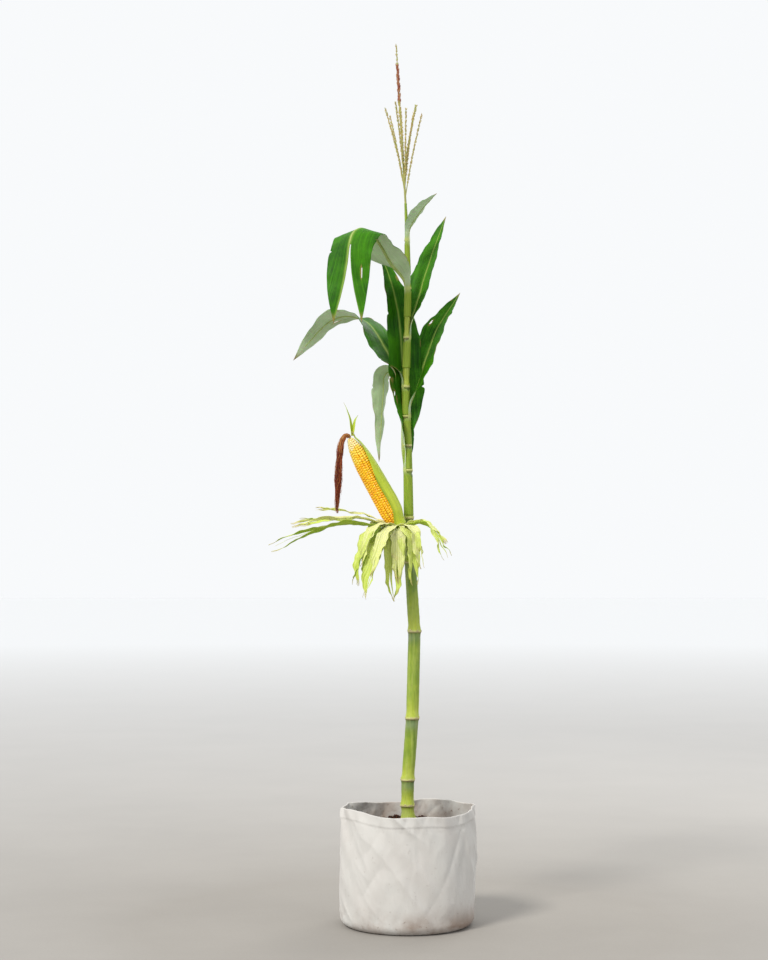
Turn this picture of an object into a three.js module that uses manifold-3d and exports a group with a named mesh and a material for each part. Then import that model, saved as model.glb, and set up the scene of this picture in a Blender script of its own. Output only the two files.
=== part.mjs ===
// A maize plant with one peeled ear, growing in a filled fabric grow bag.
// Millimetres, +Z up. The origin is the centre of the bag's flat underside, and the plant's
// front, the side that shows the ear, faces -Y. Leaves stand in two ranks, left (-X) and right (+X).

import * as THREE from 'three';
import { mergeVertices } from 'three/addons/utils/BufferGeometryUtils.js';
import Module from 'manifold-3d';

const wasm = await Module();
wasm.setup();

// Clearances
const GAP = 0.3;
const CUT_GAP = 0.6;

// Grow bag and soil
const BAG = { radius: 176, height: 300, wall: 4, floor: 6, footRound: 22, cuff: 34, cuffWall: 3, belly: 5 };
const SOIL_LEVEL = 250;
const SOIL_LUMP = 5;
const SOIL_FLAT_RADIUS = 75;
const BAG_SIDES = 40;

// Stalk joints from the ground to the foot of the tassel: height, sideways places and stem radius
const JOINTS = [
  { z: SOIL_LEVEL + GAP, x: 5, y: 2, r: 16.5 },
  { z: 272, x: 3, y: 2, r: 17.5 },
  { z: 305, x: 1, y: 1, r: 16.5 },
  { z: 372, x: 2, y: 0, r: 16.5 },
  { z: 532, x: 14, y: -3, r: 16.5 },
  { z: 758, x: 20, y: 3, r: 16 },
  { z: 939, x: 9, y: 0, r: 15 },
  { z: 1055, x: 5, y: 3, r: 11.5 },
  { z: 1180, x: 3, y: -2, r: 10.5 },
  { z: 1245, x: 1, y: 1, r: 10.5 },
  { z: 1322, x: -1, y: 2, r: 10 },
  { z: 1400, x: -3, y: -2, r: 9.5 },
  { z: 1530, x: 1, y: 2, r: 8.5 },
  { z: 1660, x: 3, y: -1, r: 7.5 },
  { z: 1788, x: 1, y: 1, r: 5.5 },
  { z: 1887, x: -3, y: 0, r: 3.6 },
];
const JOINT_RING = { swell: 1.8, below: 7, above: 9 };
const STALK_SIDES = 12;

// Prop roots round the lowest joint
const ROOTS = { count: 9, top: 274, reach: 34, reachSpread: 16, topRadius: 4.2, endRadius: 2.2, sunk: 8 };

// Leaves from the lowest to the flag leaf. Collar height, compass side (degrees from +X), length, width,
// rise and droop (degrees above level at the collar and at the tip), where along the leaf it bends,
// and how far it turns and twists. `roll` tips a blade over near its collar, `fold` flattens it, and
// a leaf that arches over a gap is cut in two at `split`.
const LEAVES = [
  { name: 'leaf_1', z: 1180, side: 148, length: 530, width: 84, rise: 82, droop: -86, bend: [0.45, 0.6],
    turn: 0, twist: 10, wave: 6, split: 0.52 },
  { name: 'leaf_2', z: 1245, side: 118, length: 555, width: 108, rise: 84, droop: 60, bend: [0.45, 1],
    turn: 20, twist: -20, wave: 7 },
  { name: 'leaf_3', z: 1322, side: 34, length: 388, width: 104, rise: 68, droop: 52, bend: [0.5, 0.8],
    turn: 2, twist: 18, wave: 8 },
  { name: 'leaf_4', z: 1400, side: 140, length: 480, width: 112, rise: 58, droop: -48, bend: [0.3, 0.84],
    turn: 30, twist: 92, roll: -44, wave: 6, split: 0.56, fold: { midFold: 6, tipFold: 10 } },
  { name: 'leaf_5', z: 1530, side: 42, length: 364, width: 88, rise: 70, droop: 66, bend: [0.3, 0.8],
    turn: -6, twist: 8, wave: 6 },
  { name: 'leaf_6', z: 1660, side: 207, length: 520, width: 146, rise: 51, droop: -84, bend: [0.22, 0.7],
    turn: 66, twist: -14, roll: 4, wave: 5, split: 0.46, fold: { midFold: -20, tipFold: 2 } },
  { name: 'leaf_7', z: 1788, side: -35, length: 150, width: 62, rise: 65, droop: 37, bend: [0.1, 1],
    turn: 6, twist: 6, wave: 3 },
];
const LEAF = { thickness: 0.01, collarFold: 52, midFold: 20, tipFold: 28, collarWidth: 0.5, waves: 4.5 };
const BLADE_SIDES = 8;
const BLADE_LEAST = { width: 3, thickness: 2.4 };
const LEAF_STEPS = 20;
const LINE_STEPS = 240;

// Ear: a bare cob that leans to the left on a short shank
const EAR = { base: [-24, -38, 1037], tip: [-150, -64, 1262], radius: 29, rows: 16, rings: 22, kernel: 1.6 };
const SHANK = { stalkZ: 952, bow: [-2, -38, 985], stalkRadius: 8, topRadius: 21, sides: 12, steps: 8 };

// Husks peeled back from the foot of the ear, in the same terms as the leaves
const HUSKS = [
  { name: 'husk_long_low', side: 186, length: 325, width: 40, rise: 6, droop: -26, bend: [0.1, 0.9],
    turn: -6, twist: 30, wave: 3 },
  { name: 'husk_long_high', side: 160, length: 250, width: 34, rise: 20, droop: -6, bend: [0.1, 0.6],
    turn: 16, twist: -20, wave: 3 },
  { name: 'husk_left', side: 212, length: 220, width: 50, rise: 10, droop: -78, bend: [0, 0.6],
    turn: 10, twist: 8, wave: 3 },
  { name: 'husk_front_left', side: 238, length: 235, width: 48, rise: -10, droop: -70, bend: [0, 0.5],
    turn: -16, twist: -12, wave: 3 },
  { name: 'husk_front', side: 262, length: 210, width: 56, rise: -20, droop: -88, bend: [0, 0.35],
    turn: 0, twist: 0, wave: 3 },
  { name: 'husk_front_right', side: 296, length: 190, width: 46, rise: 0, droop: -82, bend: [0, 0.5],
    turn: 10, twist: -8, wave: 3 },
  { name: 'husk_right', side: 334, length: 175, width: 38, rise: 18, droop: -60, bend: [0.05, 0.7],
    turn: -12, twist: -12, wave: 3 },
  { name: 'husk_back_left', side: 128, length: 215, width: 46, rise: 24, droop: -78, bend: [0, 0.6],
    turn: 12, twist: 0, wave: 3 },
];
const HUSK = { thickness: 0.012, collarFold: 18, midFold: 12, tipFold: 26, collarWidth: 0.8, waves: 3 };
const HUSK_STEPS = 12;
const HUSK_ROOT = { up: -8, inset: 2 };

// The one green husk that stays on the far side of the ear, and the leaflets at its tip
const BACK_HUSK = {
  foot: 9, length: 261, width: 84, thickness: 3.4, footLift: 1.9, lift: 4.5, side: [0.93, 0.02, 0.3],
  sides: 16, steps: 12,
};
const LEAFLET_STEPS = 4;
const TIP_LEAFLETS = [
  { side: 150, length: 92, width: 13, rise: 82, droop: 60, bend: [0.2, 1], turn: 0, twist: 20, wave: 0 },
  { side: 60, length: 66, width: 10, rise: 76, droop: 40, bend: [0.2, 1], turn: 0, twist: -20, wave: 0 },
];

// Silk that comes straight out of the ear's tip, arches to the left and hangs
const SILK_EXIT = 6;
const SILK_HANG = [[-162, -67, 1265], [-173, -70, 1236], [-178, -72, 1160], [-182, -70, 1062]];
const SILK_RADII = [4, 5.5, 7, 7.5, 5.5, 3];
const SILK_STRANDS = 5;

// Tassel: a straight spike over a sheaf of side branches
const TASSEL = {
  foot: 1887, top: 2312, topX: -28, footRadius: 3.2, spikeRadius: 4.6, tipRadius: 1.2, sides: 6,
  branches: 9, branchFoot: 1900, branchPitch: 8, branchLength: 232, branchShrink: 5,
  branchLean: 8, branchArch: 12, branchRadius: 2.8, branchTipRadius: 1.5,
};

const GOLDEN_ANGLE = THREE.MathUtils.degToRad(137.5);

const materials = {
  bagFabric: new THREE.MeshStandardMaterial({ color: 0xe4e2da, roughness: 0.85 }),
  soil: new THREE.MeshStandardMaterial({ color: 0x2c1a12, roughness: 1 }),
  stalk: new THREE.MeshStandardMaterial({ color: 0x8fae2b, roughness: 0.45 }),
  leaf: new THREE.MeshStandardMaterial({ color: 0x2f6b1c, roughness: 0.5, side: THREE.DoubleSide }),
  husk: new THREE.MeshStandardMaterial({ color: 0xd9e07a, roughness: 0.6 }),
  huskGreen: new THREE.MeshStandardMaterial({ color: 0x8fbf2a, roughness: 0.55 }),
  kernel: new THREE.MeshStandardMaterial({ color: 0xf2b81e, roughness: 0.3 }),
  silk: new THREE.MeshStandardMaterial({ color: 0x7a2f1a, roughness: 0.8 }),
  tassel: new THREE.MeshStandardMaterial({ color: 0xb9a465, roughness: 0.8 }),
};

function smooth(x) {
  const clamped = THREE.MathUtils.clamp(x, 0, 1);
  return clamped * clamped * (3 - 2 * clamped);
}

function vector(values) {
  return new THREE.Vector3(...values);
}

/** A geometry's closed surface as a solid that can be joined and cut. */
function toSolid(geometry) {
  geometry.deleteAttribute('normal');
  geometry.deleteAttribute('uv');
  const merged = mergeVertices(geometry, 1e-3);
  return new wasm.Manifold(new wasm.Mesh({
    numProp: 3,
    vertProperties: merged.attributes.position.array,
    triVerts: merged.index.array,
  }));
}

/** The largest body of a solid, without the loose scraps that a cut leaves. */
function largestBody(solid) {
  const bodies = solid.decompose();
  return bodies.reduce((largest, body) => (body.volume() > largest.volume() ? body : largest));
}

function toGeometry(solid) {
  const mesh = solid.getMesh();
  const geometry = new THREE.BufferGeometry();
  geometry.setAttribute('position', new THREE.BufferAttribute(mesh.vertProperties, 3));
  geometry.setIndex(new THREE.BufferAttribute(mesh.triVerts, 1));
  geometry.computeVertexNormals();
  return geometry;
}

/**
 * A closed cylinder bent into a new solid. `place` gives the point for a share `t` of the way along,
 * an angle round the section and a reach that is 0 on the axis of an end face and 1 on the wall.
 */
function bentCylinder(sides, steps, place) {
  const geometry = new THREE.CylinderGeometry(1, 1, 1, sides, steps);
  const position = geometry.attributes.position;
  for (let i = 0; i < position.count; i += 1) {
    const x = position.getX(i);
    const z = position.getZ(i);
    const step = Math.round((position.getY(i) + 0.5) * steps);
    const point = place(step / steps, Math.atan2(x, z), Math.hypot(x, z));
    position.setXYZ(i, point.x, point.y, point.z);
  }
  return toSolid(geometry);
}

/** A tube of changing radius along a curve. */
function taperedTube(curve, radiusAt, sides, steps) {
  const frames = curve.computeFrenetFrames(steps);
  return bentCylinder(sides, steps, (t, angle, reach) => {
    const step = Math.round(t * steps);
    const radius = radiusAt(t) * reach;
    return curve.getPointAt(t)
      .addScaledVector(frames.binormals[step], radius * Math.sin(angle))
      .addScaledVector(frames.normals[step], radius * Math.cos(angle));
  });
}

/** Centre and radius of the stalk at a height. */
function stalkAt(z) {
  const above = JOINTS.findIndex((joint) => joint.z > z);
  const index = above < 0 ? JOINTS.length - 1 : Math.max(above, 1);
  const lower = JOINTS[index - 1];
  const upper = JOINTS[index];
  const share = THREE.MathUtils.clamp((z - lower.z) / (upper.z - lower.z), 0, 1);
  return {
    x: THREE.MathUtils.lerp(lower.x, upper.x, share),
    y: THREE.MathUtils.lerp(lower.y, upper.y, share),
    radius: THREE.MathUtils.lerp(lower.r, upper.r, share),
  };
}

/** Heights and extra radii of the stalk's sections: each joint is a small ring. */
function stalkSections() {
  const ends = [JOINTS[0], JOINTS[JOINTS.length - 1]];
  const sections = [{ z: ends[0].z, extra: 1 }];
  for (const joint of JOINTS.slice(1, -1)) {
    sections.push({ z: joint.z - JOINT_RING.below, extra: 0 });
    sections.push({ z: joint.z - 1, extra: JOINT_RING.swell });
    sections.push({ z: joint.z + 2, extra: JOINT_RING.swell * 0.8 });
    sections.push({ z: joint.z + JOINT_RING.above, extra: -0.3 });
  }
  sections.push({ z: ends[1].z, extra: 0 });
  return sections;
}

function stalkSolid(clearance) {
  const sections = stalkSections();
  return bentCylinder(STALK_SIDES, sections.length - 1, (t, angle, reach) => {
    const { z, extra } = sections[Math.round(t * (sections.length - 1))];
    const { x, y, radius } = stalkAt(z);
    const wall = (radius + extra + clearance) * reach;
    return new THREE.Vector3(x + wall * Math.sin(angle), y - wall * Math.cos(angle), z);
  });
}

/** One short root that leaves the lowest joint and goes into the soil. */
function rootSolid(index) {
  const angle = (index / ROOTS.count) * 2 * Math.PI + 0.3 * Math.sin(5 * index);
  const outward = new THREE.Vector3(Math.cos(angle), Math.sin(angle), 0);
  const reach = ROOTS.reach + ROOTS.reachSpread * Math.cos(angle);
  const foot = JOINTS[1];
  const start = new THREE.Vector3(foot.x, foot.y, ROOTS.top).addScaledVector(outward, foot.r * 0.5);
  const shoulder = start.clone().addScaledVector(outward, reach * 0.5).add(new THREE.Vector3(0, 0, -5));
  const end = start.clone().addScaledVector(outward, reach).setZ(SOIL_LEVEL - ROOTS.sunk);
  const curve = new THREE.QuadraticBezierCurve3(start, shoulder, end);
  return taperedTube(curve, (t) => THREE.MathUtils.lerp(ROOTS.topRadius, ROOTS.endRadius, t), 6, 5);
}

/** Everything below the height of the soil's face, as a block to cut with. */
function belowGround() {
  const size = 400;
  const geometry = new THREE.BoxGeometry(size, size, size);
  geometry.translate(0, 0, SOIL_LEVEL + GAP - size / 2);
  return toSolid(geometry);
}

function stalkWithRoots() {
  let solid = stalkSolid(0);
  for (let i = 0; i < ROOTS.count; i += 1) {
    solid = solid.add(rootSolid(i));
  }
  return largestBody(solid.subtract(belowGround()));
}

/** How far the bag's wall stands out of round at an angle and height: creases that grow to the rim. */
function bagCrease(angle, z) {
  const rise = THREE.MathUtils.clamp(z / BAG.height, 0, 1);
  const waves = 3 * Math.sin(3 * angle + 0.6) + 1.8 * Math.sin(7 * angle + 2) + 1.2 * Math.sin(11 * angle);
  return waves * rise + BAG.belly * Math.sin(Math.PI * rise);
}

function rimWave(angle) {
  return 5 * Math.sin(2 * angle + 0.7) + 3 * Math.sin(5 * angle + 1.9);
}

/** A lathe about +Z whose points are then moved by `shift(radius, angle, z)`, which gives the new radius and z. */
function shapedLathe(profile, sides, shift) {
  const geometry = new THREE.LatheGeometry(profile, sides);
  geometry.rotateX(Math.PI / 2);
  const position = geometry.attributes.position;
  for (let i = 0; i < position.count; i += 1) {
    const x = position.getX(i);
    const y = position.getY(i);
    const radius = Math.hypot(x, y);
    const angle = Math.atan2(y, x);
    const moved = shift(radius, angle, position.getZ(i));
    position.setXYZ(i, moved.radius * Math.cos(angle), moved.radius * Math.sin(angle), moved.z);
  }
  return toSolid(geometry);
}

function bagSolid() {
  const { radius, height, wall, floor, footRound, cuff, cuffWall } = BAG;
  const inner = radius - wall;
  const profile = [
    [0, 0], [radius - footRound, 0], [radius - footRound * 0.3, footRound * 0.3], [radius, footRound],
    [radius, height * 0.4], [radius, height * 0.7], [radius, height - cuff - 2],
    [radius + cuffWall, height - cuff], [radius + cuffWall, height - 3], [radius - 1, height],
    [inner, height - 3], [inner, SOIL_LEVEL], [inner, height * 0.7], [inner, height * 0.4], [inner, footRound],
    [inner - footRound * 0.7, floor], [0, floor],
  ];
  const points = profile.map(([r, z]) => new THREE.Vector2(r, z));
  return shapedLathe(points, BAG_SIDES, (r, angle, z) => {
    const onFloor = z <= floor;
    const lift = rimWave(angle) * smooth((z - SOIL_LEVEL) / (height - cuff - SOIL_LEVEL));
    return { radius: onFloor ? r : r + bagCrease(angle, z), z: z + lift };
  });
}

/** Height of the soil's lumps: none where the stalk stands and none at the bag's wall. */
function soilLump(x, y) {
  const radius = Math.hypot(x, y);
  const share = smooth((radius - SOIL_FLAT_RADIUS) / 40) * smooth((BAG.radius - radius) / 20);
  return SOIL_LUMP * share * (Math.sin(x / 13 + 1) * Math.cos(y / 17) + 0.6 * Math.sin((x + y) / 9));
}

function soilSolid() {
  const { radius, wall, floor, footRound } = BAG;
  const outer = radius - wall - GAP * 3;
  const bottom = floor + GAP;
  const profile = [
    [0, bottom], [outer - footRound * 0.75, bottom], [outer, footRound + 1], [outer, BAG.height * 0.4],
    [outer, BAG.height * 0.7], [outer, SOIL_LEVEL], [outer * 0.86, SOIL_LEVEL], [outer * 0.7, SOIL_LEVEL],
    [outer * 0.55, SOIL_LEVEL], [SOIL_FLAT_RADIUS, SOIL_LEVEL], [0, SOIL_LEVEL],
  ];
  const points = profile.map(([r, z]) => new THREE.Vector2(r, z));
  return shapedLathe(points, BAG_SIDES, (r, angle, z) => {
    const atWall = r > outer - 1;
    const moved = atWall ? r + bagCrease(angle, z) : r;
    const lump = z === SOIL_LEVEL ? soilLump(r * Math.cos(angle), r * Math.sin(angle)) : 0;
    return { radius: moved, z: z + lump };
  });
}

/**
 * The midrib of a leaf or husk from its foot: points with their directions along, across and up.
 * The slope goes from `rise` to `droop` between the two shares in `bend`.
 */
function ribLine(blade, foot) {
  const line = [];
  const point = foot.clone();
  const { degToRad } = THREE.MathUtils;
  for (let i = 0; i <= LINE_STEPS; i += 1) {
    const t = i / LINE_STEPS;
    const bent = smooth((t - blade.bend[0]) / (blade.bend[1] - blade.bend[0]));
    const slope = degToRad(THREE.MathUtils.lerp(blade.rise, blade.droop, bent));
    const compass = degToRad(blade.side + blade.turn * t);
    const outward = new THREE.Vector3(Math.cos(compass), Math.sin(compass), 0);
    const along = outward.clone().multiplyScalar(Math.cos(slope)).setZ(Math.sin(slope));
    const across = new THREE.Vector3(-Math.sin(compass), Math.cos(compass), 0);
    const up = new THREE.Vector3().crossVectors(along, across);
    const twist = degToRad(blade.twist * t + (blade.roll ?? 0) * smooth(t / 0.2));
    line.push({
      point: point.clone(),
      along,
      across: across.clone().multiplyScalar(Math.cos(twist)).addScaledVector(up, Math.sin(twist)),
      up: up.clone().multiplyScalar(Math.cos(twist)).addScaledVector(across, -Math.sin(twist)),
    });
    point.addScaledVector(along, blade.length / LINE_STEPS);
  }
  return line;
}

/** Width of a blade along its length, as a share of its full width. */
function bladeWidth(t, form) {
  const opening = THREE.MathUtils.lerp(form.collarWidth, 1, smooth(t / 0.3));
  const taper = 1 - Math.pow(Math.max(0, (t - 0.35) / 0.65), 1.9);
  return opening * taper;
}

function bladeFold(t, form) {
  const opened = THREE.MathUtils.lerp(form.collarFold, form.midFold, smooth(t / 0.3));
  return THREE.MathUtils.lerp(opened, form.tipFold, smooth((t - 0.6) / 0.4));
}

/**
 * One stretch of a folded blade with wavy margins round a midrib: from share `from` to share `to` of its
 * length, its first face moved on by `startGap`. `clearance` widens it all round, for cutting its neighbours.
 */
function bladeSolid(blade, form, line, stretch, clearance) {
  const { steps, from, to, startGap } = stretch;
  const thickness = Math.max(form.thickness * blade.length, BLADE_LEAST.thickness);
  return bentCylinder(BLADE_SIDES, steps, (step, angle, reach) => {
    const t = THREE.MathUtils.lerp(from, to, step);
    const { point, along, across, up } = line[Math.round(t * LINE_STEPS)];
    const half = Math.max(blade.width * bladeWidth(t, form), BLADE_LEAST.width) / 2 + clearance;
    const s = Math.cos(angle) * reach;
    const fold = THREE.MathUtils.degToRad(bladeFold(t, form));
    const ripple = Math.sin(2 * Math.PI * form.waves * t + (s > 0 ? 1.3 : 0)) * s * s;
    const wave = blade.wave * ripple * smooth(t / 0.25) * smooth((1 - t) / 0.25);
    const edge = Math.abs(Math.sin(angle)) < 0.1 ? 0 : Math.sign(Math.sin(angle));
    const skin = edge * reach * (thickness / 2 * THREE.MathUtils.lerp(1, 0.5, smooth((t - 0.8) / 0.2)) + clearance);
    const endShift = (step === 0 ? startGap - clearance : 0) + (step === 1 ? clearance : 0);
    return point.clone()
      .addScaledVector(along, endShift)
      .addScaledVector(across, half * s * Math.cos(fold))
      .addScaledVector(up, half * Math.abs(s) * Math.sin(fold) + wave + skin);
  });
}

const plant = new THREE.Group();

function addPart(name, solid, material) {
  const mesh = new THREE.Mesh(toGeometry(solid), material);
  mesh.name = name;
  plant.add(mesh);
}

/** The solids that stand so far, each with a clearance, which later blades are cut back from. */
const keepClear = [];

function cutClear(solid) {
  let result = solid;
  for (const other of keepClear) {
    result = result.subtract(other);
  }
  return largestBody(result);
}

function addGrowBag() {
  addPart('grow_bag', bagSolid(), materials.bagFabric);
  addPart('soil', soilSolid(), materials.soil);
}

function addStalk() {
  addPart('stalk', stalkWithRoots(), materials.stalk);
  keepClear.push(stalkSolid(CUT_GAP));
}

function earPoint(share) {
  return vector(EAR.base).lerp(vector(EAR.tip), share);
}

/** Radius of the cob along its length: a rounded foot, a long even body and a blunt tip. */
function cobRadius(share) {
  const foot = THREE.MathUtils.lerp(0.74, 1, smooth(share / 0.16));
  const body = 1 - 0.16 * share;
  const tip = Math.sqrt(Math.max(0.06, 1 - Math.pow(Math.max(0, (share - 0.5) / 0.5), 2.6)));
  return EAR.radius * foot * body * tip;
}

function cobSolid(relief, clearance) {
  const axis = new THREE.LineCurve3(vector(EAR.base), vector(EAR.tip));
  const frames = axis.computeFrenetFrames(1);
  const sides = EAR.rows * 2;
  return bentCylinder(sides, EAR.rings, (t, angle, reach) => {
    const ring = Math.round(t * EAR.rings);
    const groove = Math.round((angle / (2 * Math.PI)) * sides) % 2 === 0 ? 0 : relief;
    const dent = ring % 2 === 0 ? relief * 0.6 : 0;
    const radius = (cobRadius(t) - groove - dent + clearance) * reach;
    return axis.getPoint(t)
      .addScaledVector(frames.binormals[0], radius * Math.sin(angle))
      .addScaledVector(frames.normals[0], radius * Math.cos(angle));
  });
}

/** The short branch that carries the ear: it leaves the stalk, bows forward and ends in a cup under the cob. */
function shankCurve() {
  const { x, y } = stalkAt(SHANK.stalkZ);
  const axis = vector(EAR.tip).sub(vector(EAR.base)).normalize();
  const end = vector(EAR.base).addScaledVector(axis, -GAP);
  const below = end.clone().addScaledVector(axis, -28);
  return new THREE.CatmullRomCurve3([new THREE.Vector3(x, y, SHANK.stalkZ), vector(SHANK.bow), below, end]);
}

function shankRadius(t) {
  return THREE.MathUtils.lerp(SHANK.stalkRadius, SHANK.topRadius, smooth((t - 0.35) / 0.55));
}

function addEar() {
  const shank = taperedTube(shankCurve(), shankRadius, SHANK.sides, SHANK.steps);
  addPart('ear_shank', cutClear(shank), materials.huskGreen);
  addPart('cob', cutClear(cobSolid(EAR.kernel, 0)), materials.kernel);
  keepClear.push(cobSolid(0, CUT_GAP));
  keepClear.push(taperedTube(shankCurve(), (t) => shankRadius(t) + CUT_GAP, SHANK.sides, SHANK.steps));
}

/** Adds one stretch of a blade, cut back from what stands already. */
function addBlade(name, blade, form, line, stretch, material) {
  addPart(name, cutClear(bladeSolid(blade, form, line, stretch, 0)), material);
  return bladeSolid(blade, form, line, stretch, CUT_GAP);
}

function addLeaf(leaf) {
  const { x, y } = stalkAt(leaf.z);
  const line = ribLine(leaf, new THREE.Vector3(x, y, leaf.z));
  const form = { ...LEAF, ...leaf.fold };
  if (leaf.split === undefined) {
    const whole = { steps: LEAF_STEPS, from: 0, to: 1, startGap: 0 };
    keepClear.push(addBlade(leaf.name, leaf, form, line, whole, materials.leaf));
    return;
  }
  const lower = { steps: LEAF_STEPS / 2, from: 0, to: leaf.split, startGap: 0 };
  const upper = { steps: LEAF_STEPS / 2, from: leaf.split, to: 1, startGap: GAP };
  const clearances = [
    addBlade(`${leaf.name}_lower`, leaf, form, line, lower, materials.leaf),
    addBlade(`${leaf.name}_upper`, leaf, form, line, upper, materials.leaf),
  ];
  keepClear.push(...clearances);
}

/** Where a husk leaves the foot of the ear. */
function huskFoot(husk) {
  const compass = THREE.MathUtils.degToRad(husk.side);
  const start = vector(EAR.base).add(new THREE.Vector3(0, 0, HUSK_ROOT.up));
  const reach = SHANK.topRadius - HUSK_ROOT.inset;
  return start.add(new THREE.Vector3(Math.cos(compass) * reach, Math.sin(compass) * reach, 0));
}

function addHusk(husk) {
  const line = ribLine(husk, huskFoot(husk));
  const whole = { steps: HUSK_STEPS, from: 0, to: 1, startGap: 0 };
  keepClear.push(addBlade(husk.name, husk, HUSK, line, whole, materials.husk));
}

/** The husk left on the ear: a strip that wraps the cob on the side towards the stalk. */
function addBackHusk() {
  const axis = vector(EAR.tip).sub(vector(EAR.base)).normalize();
  const outward = vector(BACK_HUSK.side);
  outward.addScaledVector(axis, -outward.dot(axis)).normalize();
  const across = new THREE.Vector3().crossVectors(outward, axis);
  const { sides, steps, foot, length, width, thickness, footLift, lift } = BACK_HUSK;
  const earLength = vector(EAR.tip).distanceTo(vector(EAR.base));
  let solid = bentCylinder(sides, steps, (t, angle, reach) => {
    const share = (foot + t * length) / earLength;
    const s = Math.cos(angle) * reach;
    const half = width * (1 - 0.82 * smooth((t - 0.3) / 0.7)) / 2;
    const edge = Math.abs(Math.sin(angle)) < 0.1 ? 0 : Math.sign(Math.sin(angle));
    const clear = THREE.MathUtils.lerp(footLift, lift, smooth(t / 0.25));
    const middle = cobRadius(Math.min(share, 0.97)) + clear + thickness / 2;
    const turn = half * s / middle;
    const radius = middle + edge * reach * thickness / 2;
    return earPoint(share)
      .addScaledVector(outward, radius * Math.cos(turn))
      .addScaledVector(across, radius * Math.sin(turn));
  });
  const tip = earPoint((foot + length - 10) / earLength).addScaledVector(outward, cobRadius(0.97) + thickness / 2);
  const whole = { steps: LEAFLET_STEPS, from: 0, to: 1, startGap: 0 };
  for (const leaflet of TIP_LEAFLETS) {
    solid = solid.add(bladeSolid(leaflet, HUSK, ribLine(leaflet, tip), whole, 0));
  }
  addPart('husk_back', cutClear(solid), materials.huskGreen);
  keepClear.push(solid);
}

/** The bundle of silk, with a few loose strands that part from it towards the end. */
function addSilk() {
  const axis = vector(EAR.tip).sub(vector(EAR.base)).normalize();
  const root = vector(EAR.tip).addScaledVector(axis, GAP);
  const exit = vector(EAR.tip).addScaledVector(axis, SILK_EXIT);
  const curve = new THREE.CatmullRomCurve3([root, exit, ...SILK_HANG.map(vector)]);
  const radiusAt = (t) => {
    const place = t * (SILK_RADII.length - 1);
    const lower = Math.min(Math.floor(place), SILK_RADII.length - 2);
    return THREE.MathUtils.lerp(SILK_RADII[lower], SILK_RADII[lower + 1], place - lower);
  };
  let solid = taperedTube(curve, radiusAt, 10, 14);
  for (let i = 0; i < SILK_STRANDS; i += 1) {
    const compass = (i / SILK_STRANDS) * 2 * Math.PI;
    const outward = new THREE.Vector3(Math.cos(compass), Math.sin(compass), 0);
    const start = curve.getPointAt(0.45);
    const middle = curve.getPointAt(0.75).addScaledVector(outward, 6);
    const end = curve.getPointAt(0.97 - 0.05 * i).addScaledVector(outward, 8);
    solid = solid.add(taperedTube(new THREE.QuadraticBezierCurve3(start, middle, end), () => 2.2, 6, 5));
  }
  addPart('silk', cutClear(solid), materials.silk);
}

/** Radius of the spike: a thin stem, a thicker part set with flowers and a fine tip. */
function spikeRadius(t) {
  const { footRadius, spikeRadius: full, tipRadius } = TASSEL;
  const filled = THREE.MathUtils.lerp(footRadius, full, smooth((t - 0.3) / 0.3));
  return THREE.MathUtils.lerp(filled, tipRadius, smooth((t - 0.78) / 0.22));
}

function tasselBranch(index) {
  const { branchFoot, branchPitch, branchLength, branchShrink, branchLean, branchArch } = TASSEL;
  const compass = index * GOLDEN_ANGLE;
  const outward = new THREE.Vector3(Math.cos(compass), Math.sin(compass), 0);
  const z = branchFoot + index * branchPitch;
  const length = branchLength - index * branchShrink;
  const lean = THREE.MathUtils.degToRad(branchLean + 3 * Math.sin(index * 2));
  const start = spikePoint(z);
  const middle = start.clone()
    .addScaledVector(outward, Math.sin(lean) * length * 0.5)
    .add(new THREE.Vector3(0, 0, length * 0.5));
  const end = start.clone()
    .addScaledVector(outward, Math.sin(lean) * length + branchArch)
    .add(new THREE.Vector3(0, 0, length * 0.97));
  const curve = new THREE.QuadraticBezierCurve3(start, middle, end);
  const radiusAt = (t) => THREE.MathUtils.lerp(TASSEL.branchRadius, TASSEL.branchTipRadius, t);
  return taperedTube(curve, radiusAt, TASSEL.sides, 6);
}

/** Axis of the spike at a height: it goes straight on from the stalk and leans a little to the left. */
function spikePoint(z) {
  const foot = JOINTS[JOINTS.length - 1];
  const share = (z - foot.z) / (TASSEL.top - foot.z);
  return new THREE.Vector3(THREE.MathUtils.lerp(foot.x, TASSEL.topX, share), foot.y, z);
}

function addTassel() {
  const axis = new THREE.LineCurve3(spikePoint(TASSEL.foot + GAP), spikePoint(TASSEL.top));
  let solid = taperedTube(axis, spikeRadius, TASSEL.sides, 12);
  for (let i = 0; i < TASSEL.branches; i += 1) {
    solid = solid.add(tasselBranch(i));
  }
  addPart('tassel', cutClear(solid), materials.tassel);
}

addGrowBag();
addStalk();
addEar();
LEAVES.forEach(addLeaf);
HUSKS.forEach(addHusk);
addBackHusk();
addSilk();
addTassel();

export default plant;
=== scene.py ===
"""A maize plant in a fabric grow bag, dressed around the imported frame.

Lengths are in millimetres, as on the plant, and become metres as each mesh is made. +Z is up, -Y is
the plant's front, and the origin is the centre of the bag's flat underside. Stalk, leaves, husks, ear,
silk and tassel grow by the rules of the part's solids, carried to finer meshes.
"""

import math
from dataclasses import dataclass, replace

import bpy
import numpy as np
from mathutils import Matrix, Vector, noise


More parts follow.
